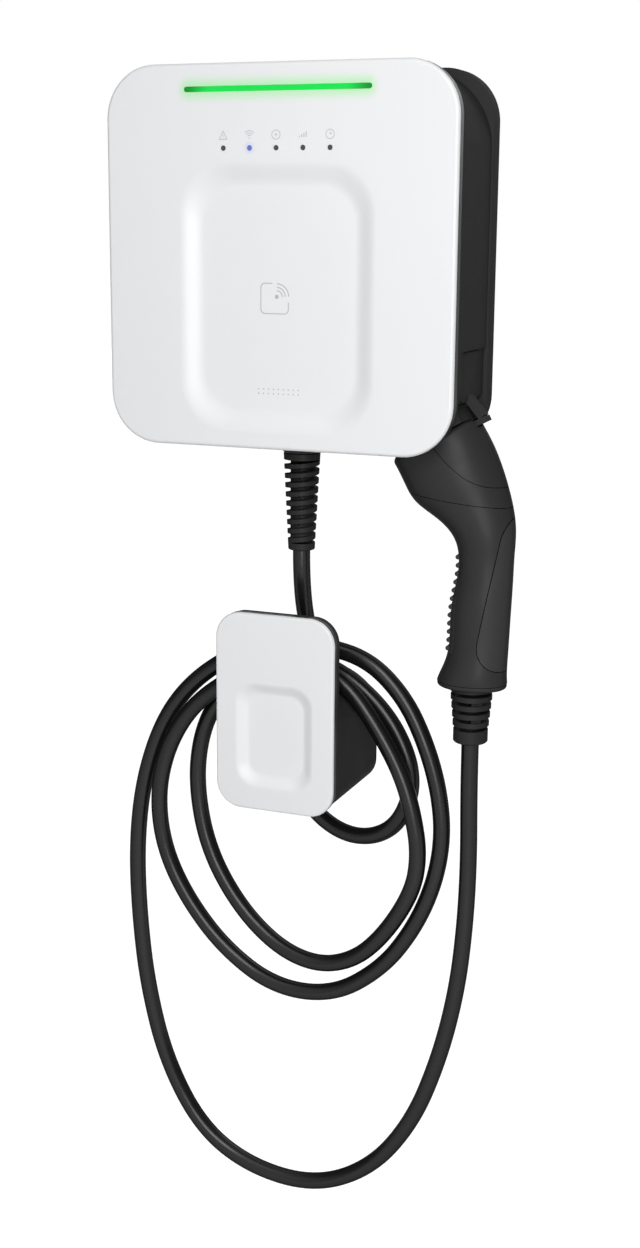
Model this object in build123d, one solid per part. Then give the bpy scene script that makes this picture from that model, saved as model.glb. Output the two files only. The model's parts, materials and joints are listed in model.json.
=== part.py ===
from build123d import *
import math
import os

os.makedirs("parts", exist_ok=True)

# Tethered wallbox, its cable holder, the charging cable and its plug, in millimetres.
# X runs to the right, Y into the wall and Z up. The origin is in the wall plane, at the middle
# of the main unit's back. A depth is a distance out of the wall, so it is minus Y.

# Driving sizes of the main unit
unit_width = 290.0
unit_height = 293.0
unit_depth = 106.0
corner_radius = 41.0
case_corner_radius = 60.0
wall = 3.0
fit = 0.3
running_gap = 0.4
overrun = 2.0
axis_depth = 50.0

# Rear case
rear_depth = 17.0
rear_floor = 4.0
edge_soft = 1.2
wall_hole_side = 40.0
wall_hole_end = 46.5
wall_hole_radius = 3.25
wall_boss_radius = 8.0
wall_boss_height = 3.0
supply_hole_radius = 14.0
supply_hole_in = 53.0
supply_hole_up = 80.5

# Main housing
case_inset = 1.5
holster_tilt = 28.0
cut_corner_soft = 14.0
post_radius = 7.0
screw_radius = 1.9
screw_length = 14.0
screw_head_radius = 3.6
screw_head_height = 2.4
screw_socket_radius = 1.6
screw_socket_depth = 1.4
base_post_gap = 20.27

# Recess and pocket of the latch in the right side
recess_depth = 2.0
recess_up = 79.5
recess_front = 80.0
pocket_wall = 2.6
pocket_depth = 9.0
pocket_end_gap = 1.2

# Latch lever and its hook
lever_width = 38.0
lever_height = 38.0
lever_thickness = 3.2
lever_pivot_drop = 16.0
barrel_radius = 3.6
pin_radius = 1.5
pin_play = 0.08
hook_width = 14.0
hook_thickness = 5.0
hook_run = 15.0
hook_drop = 17.0
nib_reach = 5.5
nib_thickness = 4.5
notch_clearance = 1.2
spring_wire = 0.8
spring_radius = 2.6
spring_pitch = 1.5
spring_turns = 3

# Seal and lid under the fascia
gasket_thickness = 1.5
lid_inset = 0.8
lid_depth = 6.5
lid_plate = 3.0
lid_rim = 7.0

# Fascia
fascia_depth = 10.0
fascia_skin = 2.5
fascia_edge = 3.2
fascia_peg_radius = 3.0
fascia_peg_inset = 28.0
fascia_peg_up = 132.0
dish_side = 65.0
dish_above = 74.5
dish_below = 14.5
dish_radius = 38.0
dish_depth = 6.0
dish_slope = 15.0
dish_rim_soft = 8.0
dish_floor_soft = 5.0

# Light bar and indicator lights
bar_length = 154.0
bar_height = 4.2
bar_drop = 19.2
lens_sunk = 0.25
lens_flange = 1.5
lens_flange_thickness = 1.0
light_count = 5
light_pitch = 22.0
light_drop = 62.9
bar_led_count = 10
light_radius = 2.1
lit_index = 1

# Boards
board = 1.6
bar_board_height = 11.0
light_board_height = 14.0
board_margin = 4.0
chip = 2.0
chip_height = 0.7
control_side = 50.0
control_height = 92.0
control_drop = 68.5
control_gap = 6.0
reader_width = 60.0
reader_height = 56.0
reader_gap = 4.0
pillar_radius = 3.0
relay_width = 16.0
relay_height = 29.0
relay_depth = 11.0
capacitor_radius = 6.0
capacitor_height = 10.0

# Devices on the mounting rail
rail_start_gap = 15.0
rail_end_gap = 79.0
rail_height = 35.0
rail_depth = 7.5
rail_sheet = 1.0
rail_lip = 4.0
rail_up = 141.5
rail_spare = 18.0
supply_modules = 4
contactor_modules = 2
meter_modules = 2
monitor_modules = 2
module_height = 86.0
module_nose = 45.0
module_body = 44.0
module_total = 60.0
device_gap = 0.4
dial_radius = 5.0
terminal_radius = 2.6

# Outlet: sensor ring, terminal block, cores, gland and boot
core_radius = 2.4
core_ring = 4.6
core_count = 3
block_width = 46.0
block_height = 26.0
block_front = 62.0
block_up = 54.5
sensor_outer = 19.0
sensor_inner = 11.0
sensor_height = 12.0
sensor_up = 34.5
gland_thread_radius = 12.4
gland_hex = 31.0
gland_hex_height = 9.0
locknut_height = 5.0
boot_top_radius = 15.2
boot_end_radius = 11.0
boot_flange = 4.0
boot_length = 81.0
boot_rings = 9
boot_collar = 10.0
ring_share = 0.58
web_share = 0.55

# Cable
cable_radius = 7.25

# Holster socket
nose_radius = 27.0
nose_flat = 22.5
nose_length = 41.0
socket_wall = 2.6
socket_flange = 2.4
socket_flange_thickness = 2.0
socket_play = 0.6

# Plug, in the plane of its nose and grip
plug_head_half = 37.6
plug_head_thickness = 30.0
plug_grip_half = 23.3
plug_grip_thickness = 21.5
plug_reach = 197.5
plug_head_in = 27.5
plug_head_up = 12.0
plug_stand = 13.91936
plug_seam_gap = 0.5
crease_width = 0.6
crease_depth = 0.5
head_rim_soft = 5.0
carrier_seat = 3.0
inlay_skin = 2.2
inlay_groove = 0.6
rib_count = 12
rib_radius = 2.0
rib_rise = 0.5
finger_pad_width = 29.0
finger_pad_skin = 2.4
end_ring_height = 4.5
end_ring_inset = 0.3
end_ring_neck = 2.0
plug_boot_top = 17.6
plug_boot_end = 14.2
plug_boot_length = 46.5
plug_boot_rings = 5
plug_boot_collar = 7.0
contact_ring = 13.5
power_hole_radius = 5.2
signal_hole_radius = 3.4
contact_depth = 34.0
sleeve_wall = 0.9
sleeve_sunk = 6.0
sleeve_clear = 0.6

# Cable holder
holder_width = 104.0
holder_height = 166.5
holder_depth = 108.0
holder_z = -363.0
holder_radius = 22.0
holder_face_depth = 4.0
holder_rim_depth = 11.0
holder_rim_inset = 0.8
holder_plate = 3.0
holder_body_inset = 1.0
holder_floor = 4.0
holder_wall = 3.4
saddle_radius = 62.0
saddle_crown = -341.0
channel_x = -9.0
channel_width = 34.0
channel_depth = 31.0
holder_dish_width = 67.0
holder_dish_height = 88.0
holder_dish_centre = -382.0
holder_dish_radius = 17.0
holder_dish_depth = 5.0
holder_dish_slope = 9.0
holder_dish_soft = 3.6
holder_hole_across = 76.0
holder_hole_up = 44.0
holder_hole_z = -405.0
holder_hole_radius = 2.75
holder_post_radius = 5.0

# Worked out from the sizes above
half_width = unit_width / 2
half_height = unit_height / 2
case_half_width = half_width - case_inset
case_half_height = half_height - case_inset
case_front = unit_depth - fascia_depth - lid_depth - gasket_thickness
wall_hole_across = unit_width - wall_hole_side * 2
wall_hole_up = unit_height - wall_hole_end * 2
supply_hole_x = supply_hole_in - half_width
supply_hole_z = supply_hole_up - half_height
recess_top = recess_up - half_height
dish_width = unit_width - dish_side * 2
dish_height = unit_height - dish_above - dish_below
dish_centre = (dish_below - dish_above) / 2
bar_z = half_height - bar_drop
light_z = half_height - light_drop
control_width = unit_width - control_side * 2
control_z = half_height - control_drop
rail_length = unit_width - rail_start_gap - rail_end_gap
rail_x = (rail_start_gap - rail_end_gap) / 2
rail_z = rail_up - half_height
module_count = supply_modules + contactor_modules + meter_modules + monitor_modules
module_pitch = (rail_length - rail_spare) / module_count
block_bottom = block_up - half_height
sensor_z = sensor_up - half_height
plug_head_x = half_width - plug_head_in
plug_head_z = plug_head_up - half_height
tilt = math.radians(holster_tilt)
nose_x, nose_z = -math.sin(tilt), math.cos(tilt)
across_x, across_z = math.cos(tilt), math.sin(tilt)
lid_back = case_front + gasket_thickness
lid_front = lid_back + lid_depth
fascia_back = unit_depth - fascia_depth
skin_back = unit_depth - fascia_skin

# Reach along the nose from the head's rim, and from there to the cut corner's outer face
head_reach = plug_head_x * nose_x + plug_head_z * nose_z
cut_corner_reach = -head_reach - plug_stand


def slab(sketch, back, front):
    """Solid of a front-view sketch between two depths out of the wall."""
    return extrude(Plane.XZ.offset(back) * sketch, amount=front - back)


def at(x, z, shape):
    return Pos(x, z) * shape


def rounded(width, height, radius, x=0, z=0):
    return at(x, z, RectangleRounded(width, height, radius))


def disc(x, z, radius):
    return at(x, z, Circle(radius))


def block(x0, x1, depth0, depth1, z0, z1):
    size = (abs(x1 - x0), abs(depth1 - depth0), abs(z1 - z0))
    centre = ((x0 + x1) / 2, -(depth0 + depth1) / 2, (z0 + z1) / 2)
    return Pos(*centre) * Box(*size)


def joined(solids):
    total = solids[0]
    for piece in solids[1:]:
        total = total + piece
    return total


def save(piece, name):
    whole = piece if isinstance(piece, Compound) else Compound(children=[piece])
    export_step(whole, f"parts/{name}.step")


def case_outline(inset):
    """Front view of the housing, with its lower right corner cut square to the holster."""
    w, h = case_half_width - inset, case_half_height - inset
    reach = inset - cut_corner_reach
    side_z = (reach - nose_x * w) / nose_z
    base_x = (reach + nose_z * h) / nose_x
    points = [(-w, h), (w, h), (w, side_z), (base_x, -h), (-w, -h)]
    large = case_corner_radius - inset
    soft = cut_corner_soft - inset
    radii = [large, large, soft, soft, large]
    return make_face(FilletPolyline(*points, radius=radii, close=True))


# Screw posts of the housing: three in the corners, two beside the cut corner
post_bite = wall / 2
post_reach = (case_corner_radius - wall - post_radius + post_bite) / math.sqrt(2)
corner_x = case_half_width - case_corner_radius + post_reach
corner_z = case_half_height - case_corner_radius + post_reach
side_post = case_half_width - wall - post_radius + post_bite
base_post = case_half_height - wall - post_radius + post_bite
posts = [(-corner_x, corner_z), (corner_x, corner_z), (-corner_x, -corner_z)]
cut_base_x = (nose_z * case_half_height - cut_corner_reach) / nose_x
posts = posts + [(side_post, recess_top / 2), (cut_base_x - base_post_gap, -base_post)]


def cap_screw(x, z, head_depth, inward):
    """Socket head screw along Y. inward is 1 where its tip points to the wall."""
    tip = head_depth - inward * (screw_length + screw_head_height)
    under = head_depth - inward * screw_head_height
    socket = head_depth - inward * screw_socket_depth
    head = slab(disc(x, z, screw_head_radius), min(under, head_depth), max(under, head_depth))
    shank = slab(disc(x, z, screw_radius), min(tip, under), max(tip, under))
    hexagon = at(x, z, RegularPolygon(screw_socket_radius, 6))
    recess = slab(hexagon, min(socket, head_depth), max(socket, head_depth))
    return head + shank - recess


def rear_case():
    body = slab(rounded(unit_width, unit_height, corner_radius), 0, rear_depth)
    outer = body.edges().filter_by(lambda e: abs(e.center().Y + rear_depth) < fit)
    body = chamfer(outer, edge_soft)
    body = body - slab(case_outline(wall), rear_floor, rear_depth + overrun)
    for x in (-wall_hole_across / 2, wall_hole_across / 2):
        for z in (-wall_hole_up / 2, wall_hole_up / 2):
            body = body + slab(disc(x, z, wall_boss_radius), 0, rear_floor + wall_boss_height)
            body = body - slab(disc(x, z, wall_hole_radius), -overrun, rear_depth)
    for x, z in posts:
        body = body + slab(disc(x, z, post_radius), 0, rear_depth)
        body = body - slab(disc(x, z, screw_radius + fit), -overrun, rear_depth + overrun)
        bore = screw_head_radius + fit
        body = body - slab(disc(x, z, bore), -overrun, screw_head_height + fit)
    for x in (rail_x - rail_length / 3, rail_x + rail_length / 3):
        foot = rounded(rail_height / 2, rail_height, edge_soft, x, rail_z)
        body = body + slab(foot, rear_floor - fit, rear_floor + wall_boss_height)
    body = body - slab(disc(supply_hole_x, supply_hole_z, supply_hole_radius), -overrun, rear_depth)
    return body


def supply_grommet():
    lip = supply_hole_radius + wall
    outer = slab(disc(supply_hole_x, supply_hole_z, supply_hole_radius), 0, rear_floor)
    inner_lip = slab(disc(supply_hole_x, supply_hole_z, lip), rear_floor, rear_floor + wall)
    bore = slab(disc(supply_hole_x, supply_hole_z, cable_radius), -overrun, rear_depth)
    return outer + inner_lip - bore


# Latch places: the lever's face is level with the recess floor
lever_face = case_half_width - recess_depth
lever_top = recess_top - pocket_end_gap
pivot_x = lever_face - lever_thickness - barrel_radius / 2
pivot_z = lever_top - lever_pivot_drop
lever_bottom = lever_top - lever_height
pocket_floor = lever_face - pocket_depth
pocket_half = lever_width / 2 + running_gap
pocket_bottom = lever_bottom - running_gap


def hook_sketch(grow=0.0):
    """Side view of the hook: a sloping bar with a nib that points back at the plug."""
    start_x, start_z = lever_face - lever_thickness, lever_bottom + hook_thickness
    slope = math.atan2(-hook_drop, hook_run)
    run = math.hypot(hook_run, hook_drop)
    dx, dz = math.cos(slope), math.sin(slope)
    side = hook_thickness / 2 + grow
    start, end = -grow, run + grow
    bar = [(start, side), (end, side), (end, -side), (start, -side)]
    points = [(start_x + a * dx - b * dz, start_z + a * dz + b * dx) for a, b in bar]
    face = make_face(Polyline(*points, close=True))
    tip_x, tip_z = start_x + run * dx, start_z + run * dz
    nib = Rectangle(nib_reach * 2 + grow * 2, nib_thickness + grow * 2)
    mid_x = tip_x - across_x * nib_reach / 2 - nose_x * nib_thickness / 2
    mid_z = tip_z - across_z * nib_reach / 2 - nose_z * nib_thickness / 2
    return face + Pos(mid_x, mid_z) * Rot(0, 0, holster_tilt) * nib


def holster_latch():
    plate = block(lever_face - lever_thickness, lever_face, axis_depth - lever_width / 2,
                  axis_depth + lever_width / 2, lever_bottom, lever_top)
    plate = fillet(plate.edges().filter_by(Axis.X), edge_soft)
    half = lever_width / 2
    spring_room = spring_pitch * (spring_turns + 1) + running_gap
    barrel = slab(disc(pivot_x, pivot_z, barrel_radius), axis_depth - half + spring_room,
                  axis_depth + half)
    hook = slab(hook_sketch(), axis_depth - hook_width / 2, axis_depth + hook_width / 2)
    bore = slab(disc(pivot_x, pivot_z, pin_radius + pin_play), axis_depth - half - overrun,
                axis_depth + half + overrun)
    groove = slab(disc(pivot_x, pivot_z, barrel_radius + fit), axis_depth - half - overrun,
                  axis_depth - half + spring_room)
    return plate + barrel + hook - bore - groove


def latch_pin():
    reach = pocket_half + pocket_wall
    return slab(disc(pivot_x, pivot_z, pin_radius), axis_depth - reach, axis_depth + reach)


def latch_spring():
    height = spring_pitch * spring_turns
    path = Helix(pitch=spring_pitch, height=height, radius=spring_radius)
    start = path @ 0
    wire = Plane(origin=start, z_dir=path % 0) * Circle(spring_wire / 2)
    coil = sweep(wire, path=path, is_frenet=True)
    back = axis_depth - pocket_half + spring_wire
    return Pos(pivot_x, -back, pivot_z) * Rot(90, 0, 0) * coil


def nose_frame(depth=axis_depth, reach=0.0):
    """Plane square to the nose, its X across the head in the plug's plane."""
    origin = (plug_head_x + nose_x * reach, -depth, plug_head_z + nose_z * reach)
    return Plane(origin=origin, x_dir=(across_x, 0, across_z), z_dir=(nose_x, 0, nose_z))


def nose_section(grow):
    circle = Circle(nose_radius + grow)
    flat = Pos(nose_flat + grow + nose_radius, 0) * Rectangle(nose_radius * 2, nose_radius * 4)
    return circle - flat




def holster_socket():
    bore = extrude(nose_frame(reach=running_gap) * nose_section(socket_play),
                   amount=plug_stand + nose_length)
    end = nose_length + socket_play
    barrel_wall = socket_play + socket_wall
    barrel = extrude(nose_frame(reach=running_gap) * nose_section(barrel_wall),
                     amount=end + socket_wall - running_gap)
    flange = extrude(nose_frame(reach=plug_stand - socket_flange_thickness)
                     * nose_section(barrel_wall + socket_flange), amount=socket_flange_thickness)
    cup = extrude(nose_frame(reach=-overrun) * nose_section(socket_play), amount=end + overrun)
    return barrel + flange - cup


def main_housing():
    body = slab(case_outline(0), rear_depth, case_front)
    body = body - slab(case_outline(wall), rear_depth - overrun, case_front + overrun)
    for x, z in posts:
        body = body + slab(disc(x, z, post_radius), rear_depth, case_front)
    inside = slab(case_outline(wall / 2), rear_depth, case_front)
    boss = block(pocket_floor - pocket_wall, case_half_width, axis_depth - pocket_half - pocket_wall,
                 axis_depth + pocket_half + pocket_wall, pocket_bottom - pocket_wall,
                 recess_top + pocket_wall)
    body = body + (boss & inside)
    recess = block(lever_face, case_half_width + overrun, rear_depth - overrun, recess_front,
                   pocket_bottom - overrun * 4, recess_top)
    body = body - recess
    pocket = block(pocket_floor, case_half_width + overrun, axis_depth - pocket_half,
                   axis_depth + pocket_half, pocket_bottom, recess_top)
    body = body - pocket
    half_slot = hook_width / 2 + running_gap * 2
    body = body - slab(hook_sketch(running_gap * 2), axis_depth - half_slot, axis_depth + half_slot)
    pin_reach = pocket_half + pocket_wall
    body = body - slab(disc(pivot_x, pivot_z, pin_radius), axis_depth - pin_reach,
                       axis_depth + pin_reach)
    opening = socket_play + socket_wall + fit
    body = body - extrude(nose_frame(reach=-overrun) * nose_section(opening),
                          amount=nose_length + plug_stand)
    gland_hole = Pos(0, -axis_depth, -case_half_height) * Cylinder(gland_thread_radius + fit,
                                                                   wall * 4)
    body = body - gland_hole
    for x, z in posts:
        for back in (rear_depth, case_front - screw_length):
            hole = disc(x, z, screw_radius + fit / 2)
            body = body - slab(hole, back - overrun, back + screw_length + overrun)
    return body


def cover_gasket():
    ring = slab(case_outline(fit), case_front, lid_back)
    ring = ring - slab(case_outline(wall - fit), case_front - overrun, lid_back + overrun)
    return ring


peg_x = half_width - fascia_peg_inset
peg_z = fascia_peg_up / 2
pegs = [(sx * peg_x, sz * peg_z) for sx in (-1, 1) for sz in (-1, 1)]


def board_pillars(width, height, z, length):
    corners = [(sx * (width / 2 - board_margin), z + sz * (height / 2 - board_margin))
               for sx in (-1, 1) for sz in (-1, 1)]
    plate_back = lid_front - lid_plate
    return [slab(disc(x, zz, pillar_radius), plate_back - length, plate_back + fit)
            for x, zz in corners]


def cover_base():
    w, h, r = unit_width - lid_inset * 2, unit_height - lid_inset * 2, corner_radius - lid_inset
    body = slab(rounded(w, h, r), lid_back, lid_front)
    inner = slab(case_outline(lid_rim), lid_back - overrun, lid_front - lid_plate)
    body = body - inner
    for x, z in posts:
        body = body + slab(disc(x, z, post_radius), lid_back, lid_front)
        body = body - slab(disc(x, z, screw_radius + fit), lid_back - overrun, lid_front + overrun)
        bore = screw_head_radius + fit
        body = body - slab(disc(x, z, bore), lid_front - screw_head_height - fit,
                           lid_front + overrun)
    for x, z in pegs:
        body = body - slab(disc(x, z, fascia_peg_radius + fit), lid_back - overrun,
                           lid_front + overrun)
    for pillar in board_pillars(control_width, control_height, control_z, control_gap):
        body = body + pillar
    for pillar in board_pillars(reader_width, reader_height, dish_centre, reader_gap):
        body = body + pillar
    return body


def dish(width, height, radius, slope, depth, z, grow, front):
    """Shallow dish as a loft between its rim and its smaller floor."""
    top = rounded(width + grow * 2, height + grow * 2, radius + grow, 0, z)
    floor_w, floor_h = width - slope * 2 + grow * 2, height - slope * 2 + grow * 2
    floor = rounded(floor_w, floor_h, radius - slope / 2 + grow, 0, z)
    return loft([Plane.XZ.offset(front) * top, Plane.XZ.offset(front - depth - grow) * floor])


def front_edges(body, depth):
    return body.edges().filter_by(lambda e: abs(e.center().Y + depth) < fit / 3
                                  and e.bounding_box().size.Y < fit / 3)


def dished_shell(width, height, radius, z, back, front, side, thick, edge, bowl, soft):
    """Moulded front shell: soft outer edge, open back and a blended dish."""
    body = slab(rounded(width, height, radius, 0, z), back, front)
    body = fillet(front_edges(body, front), edge)
    hollow = slab(rounded(width - side * 2, height - side * 2, radius - side, 0, z),
                  back - overrun, front - thick)
    body = body - hollow
    body = body + dish(*bowl, thick, front)
    cut = dish(*bowl, 0, front)
    body = body - cut
    rim_box = cut.bounding_box().size.X / 2 + fit
    rim = front_edges(body, front).filter_by(lambda e: abs(e.center().X) < rim_box)
    body = fillet(rim, soft)
    floor_depth = front - bowl[4]
    floor = front_edges(body, floor_depth)
    return fillet(floor, soft * dish_floor_soft / dish_rim_soft)


def light_places():
    middle = (light_count - 1) / 2
    return [((i - middle) * light_pitch, light_z) for i in range(light_count)]


def fascia():
    bowl = (dish_width, dish_height, dish_radius, dish_slope, dish_depth, dish_centre)
    body = dished_shell(unit_width, unit_height, corner_radius, 0, fascia_back, unit_depth, wall,
                        fascia_skin, fascia_edge, bowl, dish_rim_soft)
    slot = at(0, bar_z, SlotOverall(bar_length, bar_height))
    body = body - slab(slot, skin_back - overrun, unit_depth + overrun)
    for x, z in light_places():
        body = body - slab(disc(x, z, light_radius), skin_back - overrun, unit_depth + overrun)
    for x, z in pegs:
        body = body + slab(disc(x, z, fascia_peg_radius), fascia_back - lid_plate, skin_back + fit)
    return body


lens_back = fascia_back + board + chip_height + fit


def light_bar():
    inner = at(0, bar_z, SlotOverall(bar_length - fit, bar_height - fit))
    flange = at(0, bar_z, SlotOverall(bar_length + lens_flange * 2, bar_height + lens_flange * 2))
    lens = slab(inner, lens_back, unit_depth - lens_sunk)
    return lens + slab(flange, skin_back - lens_flange_thickness, skin_back)


def indicator_lens(place):
    x, z = place
    lens = slab(disc(x, z, light_radius - fit / 2), lens_back, unit_depth - lens_sunk)
    flange = disc(x, z, light_radius + lens_flange)
    return lens + slab(flange, skin_back - lens_flange_thickness, skin_back)


def led_board(width, height, z, places):
    body = slab(at(0, z, Rectangle(width, height)), fascia_back, fascia_back + board)
    for x, zz in places:
        led = at(x, zz, Rectangle(chip, chip))
        body = body + slab(led, fascia_back + board, fascia_back + board + chip_height)
    return body


def light_bar_board():
    step = bar_length / bar_led_count
    middle = (bar_led_count - 1) / 2
    places = [((i - middle) * step, bar_z) for i in range(bar_led_count)]
    return led_board(bar_length + board_margin * 2, bar_board_height, bar_z, places)


def indicator_board():
    width = light_pitch * light_count + board_margin
    return led_board(width, light_board_height, light_z, light_places())


def control_board():
    front = lid_front - lid_plate - control_gap
    back = front - board
    body = slab(at(0, control_z, Rectangle(control_width, control_height)), back, front)
    relay_z = control_z + control_height / 2 - relay_height
    for i in range(3):
        relay = at((i - 2) * relay_width * 1.4, relay_z, Rectangle(relay_width, relay_height))
        body = body + slab(relay, back - relay_depth, back)
    for i in range(2):
        can = disc(control_width / 4 + i * capacitor_radius * 2.4, relay_z, capacitor_radius)
        body = body + slab(can, back - capacitor_height, back)
    plug_w, plug_h = control_width / 5, board_margin * 2
    header = at(control_width / 6, relay_z + relay_height / 2 - plug_h / 2, Rectangle(plug_w, plug_h))
    shift = capacitor_radius + plug_h
    body = body + slab(Pos(0, shift) * header, back - plug_h, back)
    return body


def card_reader_board():
    front = lid_front - lid_plate - reader_gap
    body = slab(at(0, dish_centre, Rectangle(reader_width, reader_height)), front - board, front)
    loop = at(0, dish_centre, RectangleRounded(reader_width * 0.7, reader_height * 0.7, chip))
    hole = at(0, dish_centre, RectangleRounded(reader_width * 0.6, reader_height * 0.6, chip))
    antenna = slab(loop - hole, front - board - chip_height, front - board)
    return body + antenna


rail_back = rear_floor + wall_boss_height
rail_front = rail_back + rail_depth


def din_rail():
    low, high = rail_z - rail_height / 2, rail_z + rail_height / 2
    x0, x1 = rail_x - rail_length / 2, rail_x + rail_length / 2
    body = block(x0, x1, rail_back, rail_front, low + rail_lip, high - rail_lip)
    groove = block(x0 - overrun, x1 + overrun, rail_back + rail_sheet, rail_front + overrun,
                   low + rail_lip + rail_sheet, high - rail_lip - rail_sheet)
    body = body - groove
    for a, b in ((low, low + rail_lip + rail_sheet), (high - rail_lip - rail_sheet, high)):
        body = body + block(x0, x1, rail_front - rail_sheet, rail_front, a, b)
    for x in (x0 + rail_length / 6, x1 - rail_length / 6):
        body = body - slab(disc(x, rail_z, screw_radius + fit), 0, rail_front)
    return body


def rail_device(left, modules):
    """Stepped rail-mounted housing, open at the back over the rail's edges."""
    x0, x1 = left, left + modules * module_pitch - device_gap
    body = block(x0, x1, rail_front, rail_front + module_body, rail_z - module_height / 2,
                 rail_z + module_height / 2)
    nose = block(x0, x1, rail_front + module_body, rail_front + module_total,
                 rail_z - module_nose / 2, rail_z + module_nose / 2)
    return body + nose


def terminal_mouths(body, left, modules):
    for i in range(modules):
        x = left + (i + 0.5) * module_pitch
        for z in (rail_z - module_height / 2, rail_z + module_height / 2):
            hole = Pos(x, -(rail_front + module_body / 2), z) * Cylinder(terminal_radius * 1.4, wall * 4)
            body = body - hole
    return body


device_left = rail_x - rail_length / 2 + device_gap


def device_start(modules_before):
    return device_left + modules_before * module_pitch


def power_supply():
    left = device_start(0)
    body = terminal_mouths(rail_device(left, supply_modules), left, supply_modules)
    for i in range(6):
        x = left + (i + 1) * supply_modules * module_pitch / 7
        vent = block(x - fit * 2, x + fit * 2, rail_front + module_total - wall,
                     rail_front + module_total + overrun, rail_z - module_nose / 3,
                     rail_z + module_nose / 3)
        body = body - vent
    return body


def contactor():
    left = device_start(supply_modules)
    body = terminal_mouths(rail_device(left, contactor_modules), left, contactor_modules)
    middle = left + contactor_modules * module_pitch / 2
    front = rail_front + module_total
    window = rounded(module_pitch / 2, module_pitch, edge_soft, middle, rail_z)
    body = body - slab(window, front - wall, front + overrun)
    button = rounded(module_pitch / 4, module_pitch / 2, edge_soft / 2, middle, rail_z)
    return body + slab(button, front - wall, front - wall / 2)


def energy_meter():
    left = device_start(supply_modules + contactor_modules)
    body = terminal_mouths(rail_device(left, meter_modules), left, meter_modules)
    middle = left + meter_modules * module_pitch / 2
    front = rail_front + module_total
    display = rounded(module_pitch * 1.5, module_pitch * 0.6, edge_soft, middle,
                      rail_z + module_nose / 5)
    return body - slab(display, front - edge_soft, front + overrun)


def residual_current_unit():
    left = device_start(supply_modules + contactor_modules + meter_modules)
    body = terminal_mouths(rail_device(left, monitor_modules), left, monitor_modules)
    middle = left + monitor_modules * module_pitch / 2
    front = rail_front + module_total
    for sign in (-1, 1):
        ring = disc(middle, rail_z + sign * module_nose / 4, dial_radius)
        body = body - slab(ring, front - edge_soft, front + overrun)
    return body


def core_places():
    turns = [2 * math.pi * i / core_count + math.pi / 2 for i in range(core_count)]
    return [(core_ring * math.cos(a), -axis_depth + core_ring * math.sin(a)) for a in turns]


gland_top = -case_half_height + wall + locknut_height + fit


def terminal_block():
    body = block(-block_width / 2, block_width / 2, rear_floor, block_front, block_bottom,
                 block_bottom + block_height)
    for x, y in core_places():
        body = body - Pos(x, y, block_bottom) * Cylinder(core_radius + fit, block_height)
    for i in range(4):
        x = (i - 1.5) * block_width / 4
        mouth = disc(x, block_bottom + block_height * 0.65, terminal_radius)
        body = body - slab(mouth, block_front - wall * 2, block_front + overrun)
    return body


def output_cores():
    z0 = gland_top
    height = block_bottom + block_height / 2 - fit - z0
    return Compound(children=[Pos(x, y, z0 + height / 2) * Cylinder(core_radius, height)
                              for x, y in core_places()])


def leakage_sensor():
    ring = Cylinder(sensor_outer, sensor_height) - Cylinder(sensor_inner, sensor_height * 2)
    ring = fillet(ring.edges(), edge_soft)
    body = Pos(0, -axis_depth, sensor_z) * ring
    foot = block(-sensor_inner, sensor_inner, rear_floor, axis_depth - sensor_inner - wall,
                 sensor_z - sensor_height / 2, sensor_z + sensor_height / 2)
    return body + foot


def hexagon_prism(across, z0, z1, x=0.0, depth=axis_depth):
    body = extrude(RegularPolygon(across / 2, 6, major_radius=False), amount=z1 - z0)
    return Pos(x, -depth, z0) * body


def tube_between(radius, z0, z1, x=0.0, depth=axis_depth):
    return Pos(x, -depth, (z0 + z1) / 2) * Cylinder(radius, abs(z1 - z0))


housing_base = -case_half_height
hex_base = housing_base - gland_hex_height


def cable_gland():
    thread = tube_between(gland_thread_radius, housing_base - fit, gland_top)
    nut = hexagon_prism(gland_hex, hex_base, housing_base)
    nut = chamfer(nut.edges().filter_by(Plane.XY).filter_by(GeomType.LINE), edge_soft / 2)
    bore = tube_between(cable_radius, hex_base - overrun, gland_top + overrun)
    return thread + nut - bore


def gland_locknut():
    top = gland_top - fit
    nut = hexagon_prism(gland_hex, top - locknut_height, top)
    bore = tube_between(gland_thread_radius + fit / 2, top - locknut_height - overrun, top + overrun)
    return nut - bore


def segmented_boot(top_radius, end_radius, length, rings, flange, collar, bore_radius):
    """Bend relief hanging from its origin: rings on a thin core, tied by webs in turn."""
    core = bore_radius + wall * 0.7
    pitch = (length - flange - collar) / rings
    parts = [Pos(0, 0, -flange / 2) * Cylinder(top_radius, flange)]
    parts.append(Pos(0, 0, -length / 2) * Cylinder(core, length))
    for i in range(rings):
        share = (i + 1) / rings
        radius = top_radius - (top_radius - end_radius) * share
        thick = pitch * ring_share
        z_mid = -flange - (i + 1) * pitch + thick / 2
        parts.append(Pos(0, 0, z_mid) * Cylinder(radius, thick))
        gap = pitch - thick
        web = Box(radius * 1.8, radius * web_share, gap + fit)
        turn = 90 * (i % 2) + 35
        parts.append(Pos(0, 0, z_mid + thick / 2 + gap / 2) * Rot(0, 0, turn) * web)
    parts.append(Pos(0, 0, -length + collar / 2) * Cylinder(end_radius, collar))
    whole = joined(parts)
    ends = whole.edges().filter_by(GeomType.CIRCLE)
    low = ends.filter_by(lambda e: abs(e.center().Z + length) < fit and e.radius > bore_radius + wall)
    return chamfer(low, edge_soft)


def cable_boot():
    boot = segmented_boot(boot_top_radius, boot_end_radius, boot_length, boot_rings, boot_flange,
                          boot_collar, cable_radius)
    return Pos(0, -axis_depth, hex_base) * boot


boot_end = hex_base - boot_length

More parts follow.
